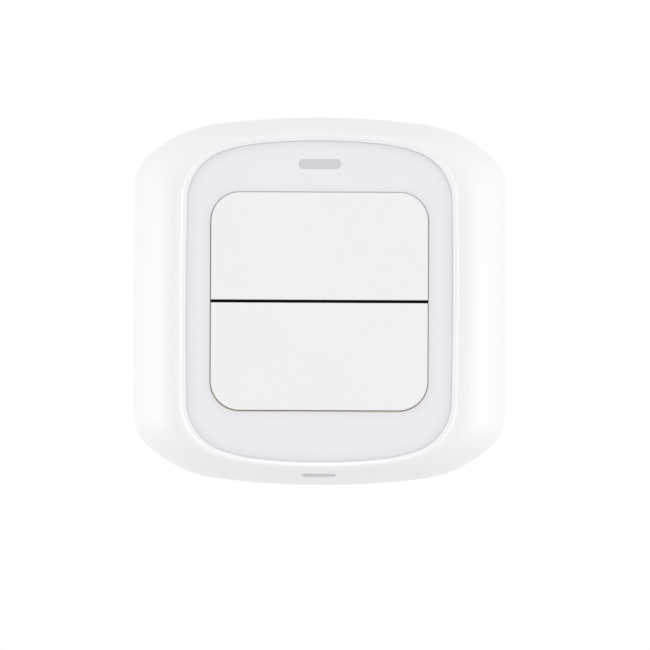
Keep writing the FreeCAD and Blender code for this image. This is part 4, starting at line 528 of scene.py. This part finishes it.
def flare(piece, start, end):
    # Widen the front of a cutter at 45 degrees from a depth on, for a small chamfer
    bm = bmesh.new()
    bm.from_mesh(piece.data)
    bmesh.ops.bisect_plane(bm, geom=list(bm.verts) + list(bm.edges) + list(bm.faces), dist=1e-6,
                           plane_co=(0, -start / 1000, 0), plane_no=(0, 1, 0))
    front = [vert for vert in bm.verts if vert.co.y < -(start + end) / 2000]
    wide, tall = (max(vert.co[axis] for vert in front) for axis in (0, 2))
    more = (end - start) / 1000
    bmesh.ops.scale(bm, vec=((wide + more) / wide, 1, (tall + more) / tall), verts=front)
    bm.to_mesh(piece.data)
    bm.free()


def buildHooks():
    hooks = []
    for side, level in ((1, 1), (1, -1), (-1, 1), (-1, -1)):
        tall = sorted(level * z for z in panel["hookZ"])
        for part in ("stem", "catch"):
            wide = sorted(side * x for x in panel[part + "X"])
            hooks.append(block(part, wide, panel[part + "Depth"], tall))
    return hooks


def buildPanel():
    gap = panel["gap"]
    rings = [ringAt(between(1, gap), panel["back"])]
    rings += [ringAt(between(1, gap + inside), panel["front"] - drop) for inside, drop in panel["edge"]]
    bm, firstEdges, lastEdges = skinThrough(rings)
    bmesh.ops.edgeloop_fill(bm, edges=lastEdges)
    bmesh.ops.edgeloop_fill(bm, edges=firstEdges)
    bmesh.ops.recalc_face_normals(bm, faces=bm.faces)
    piece = asObject(bm, "frontPanel")
    (left, right), (low, high), wall = panel["windowX"], panel["windowZ"], panel["skirtWall"]
    corner = panel["windowCorner"]
    skirt = block("skirt", (left - wall, right + wall), panel["skirtDepth"], (low - wall, high + wall),
                  corner + wall, 1, 12)
    shape(piece, [skirt] + buildHooks(), "UNION")
    window = block("window", (left, right), panel["cutDepth"], (low, high), corner, 1, 16)
    flare(window, panel["front"] - panel["windowEdge"], panel["cutDepth"][1])
    # the lens stands in a pill-shaped opening: its corners are a hair under half its height, so that
    # the rounded ends stay clean
    (low, high), wide = panel["lensZ"], panel["lensX"]
    opening = block("opening", wide, panel["cutDepth"], (low, high), (high - low) / 2 * 0.999, 1, 12)
    shape(piece, [window, opening])
    # the mask of the painted shade inside the seam
    fadeFrom(piece.data, "paintedEdgeShade", between(1, gap), *panel["seamPaintedShade"], panel["seamPaintedShadeFront"])
    finish = frostedPanel()
    finishNode("face_panel", finish)
    dress(piece, "robot", finish)
    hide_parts("face_panel")
    return piece


frontPanel = buildPanel()
print("front panel:", len(frontPanel.data.polygons), "faces")


# The stage, in metres and watts
stage = {
    "floorBelow": 0.6, "floorRadius": 1.2, "floorLift": 0.2, "worldLight": 0.77, "aim": (0, -0.02, 0),
    # each lamp's place, width and height, and watts
    "lamps": {
        "leftSoftbox": ((-1.3, 0.7, -0.1), (1.0, 2.2), 2.9),
        "leftLowLight": ((-1.2, 0.1, -0.18), (0.8, 0.5), 2.35),
        "rightSoftbox": ((1.3, 0.7, -0.1), (1.0, 2.2), 1.8),
        "rightLowLight": ((1.2, 0.1, -0.18), (0.8, 0.5), 2.35),
        "topSoftbox": ((0, -0.4, 1.3), (1.2, 1.0), 1.9),
        "frontSoftbox": ((0.35, -2.2, 0.5), (1.6, 1.2), 9.15),
    },
}


def onlySeen(tree):
    # 1 for what the camera sees, also in a reflection or through glass, and 0 for the light itself
    rays = addNode(tree, "LightPath")
    seen = addNode(tree, "Math", {0: rays.outputs["Is Camera Ray"], 1: rays.outputs["Is Glossy Ray"]},
                   operation="ADD").outputs[0]
    return addNode(tree, "Math", {0: seen, 1: rays.outputs["Is Transmission Ray"]},
                   operation="ADD", use_clamp=True).outputs[0]


def buildFloor():
    bm = bmesh.new()
    bmesh.ops.create_circle(bm, cap_ends=True, radius=stage["floorRadius"], segments=96)
    bmesh.ops.translate(bm, vec=(0, 0, -stage["floorBelow"]), verts=bm.verts)
    floor = asObject(bm, "floor")
    # Matt white card, lifted towards white where it is only looked at: it keeps the object's shadow
    material, tree, shader = newMaterial("whiteCard", "#ECECEC", 0.9)
    lift = addNode(tree, "Math", {0: onlySeen(tree), 1: stage["floorLift"]}, operation="MULTIPLY").outputs[0]
    shader.inputs["Emission Color"].default_value = (1, 1, 1, 1)
    tree.links.new(lift, shader.inputs["Emission Strength"])
    floor.data.materials.append(material)


def buildLamp(name, place, size, watts):
    data = bpy.data.lights.new(name, "AREA")
    data.shape = "RECTANGLE"
    data.size, data.size_y = size
    data.energy = watts
    lamp = bpy.data.objects.new(name, data)
    lamp.location = place
    lamp.rotation_euler = (Vector(stage["aim"]) - Vector(place)).to_track_quat("-Z", "Y").to_euler()
    scene.collection.objects.link(lamp)


def buildWorld():
    # Soft white light from all round, and pure white where the world itself is seen
    world = bpy.data.worlds.new("studio")
    scene.world = world
    world.use_nodes = True
    tree = world.node_tree
    tree.nodes.clear()
    soft = addNode(tree, "Background", {"Color": (1, 1, 1, 1), "Strength": stage["worldLight"]})
    white = addNode(tree, "Background", {"Color": (1, 1, 1, 1), "Strength": 1.0})
    both = addNode(tree, "MixShader", {0: onlySeen(tree), 1: soft.outputs[0], 2: white.outputs[0]})
    addNode(tree, "OutputWorld", {"Surface": both.outputs[0]})


# The photo's width and the object's middle in it are in pixels, and the scale holds at planeDepth. The
# camera's distance and shift aside, and planeDepth, are in metres, and its roll is in degrees
photo = {"pixels": 650, "pixelsPerMm": 4.2216, "centreX": 319.5, "centreY": 301.35, "planeDepth": 0.013,
         "distance": 1.6, "aside": 0.005, "roll": 0.26, "sensorMm": 36.0, "clip": (0.05, 50.0)}


def buildCamera():
    # Front on: the picture's middle lies a little right of and below the object's middle
    data = bpy.data.cameras.new("camera")
    data.sensor_width = photo["sensorMm"]
    data.lens = photo["sensorMm"] * photo["pixelsPerMm"] * photo["distance"] * 1000 / photo["pixels"]
    data.clip_start, data.clip_end = photo["clip"]
    camera = bpy.data.objects.new("camera", data)
    scene.collection.objects.link(camera)
    aimX = (photo["pixels"] / 2 - photo["centreX"]) / photo["pixelsPerMm"] / 1000
    aimZ = -(photo["pixels"] / 2 - photo["centreY"]) / photo["pixelsPerMm"] / 1000
    aim = Vector((aimX, -photo["planeDepth"], aimZ))
    place = Vector((photo["aside"], -photo["planeDepth"] - photo["distance"], 0))
    roll = Matrix.Rotation(math.radians(photo["roll"]), 3, "Z")
    turn = (aim - place).to_track_quat("-Z", "Y").to_matrix() @ roll
    camera.matrix_world = Matrix.Translation(place) @ turn.to_4x4()
    scene.camera = camera


buildFloor()
for name, (place, size, watts) in stage["lamps"].items():
    buildLamp(name, place, size, watts)
buildWorld()
buildCamera()
print("floor, light and camera")
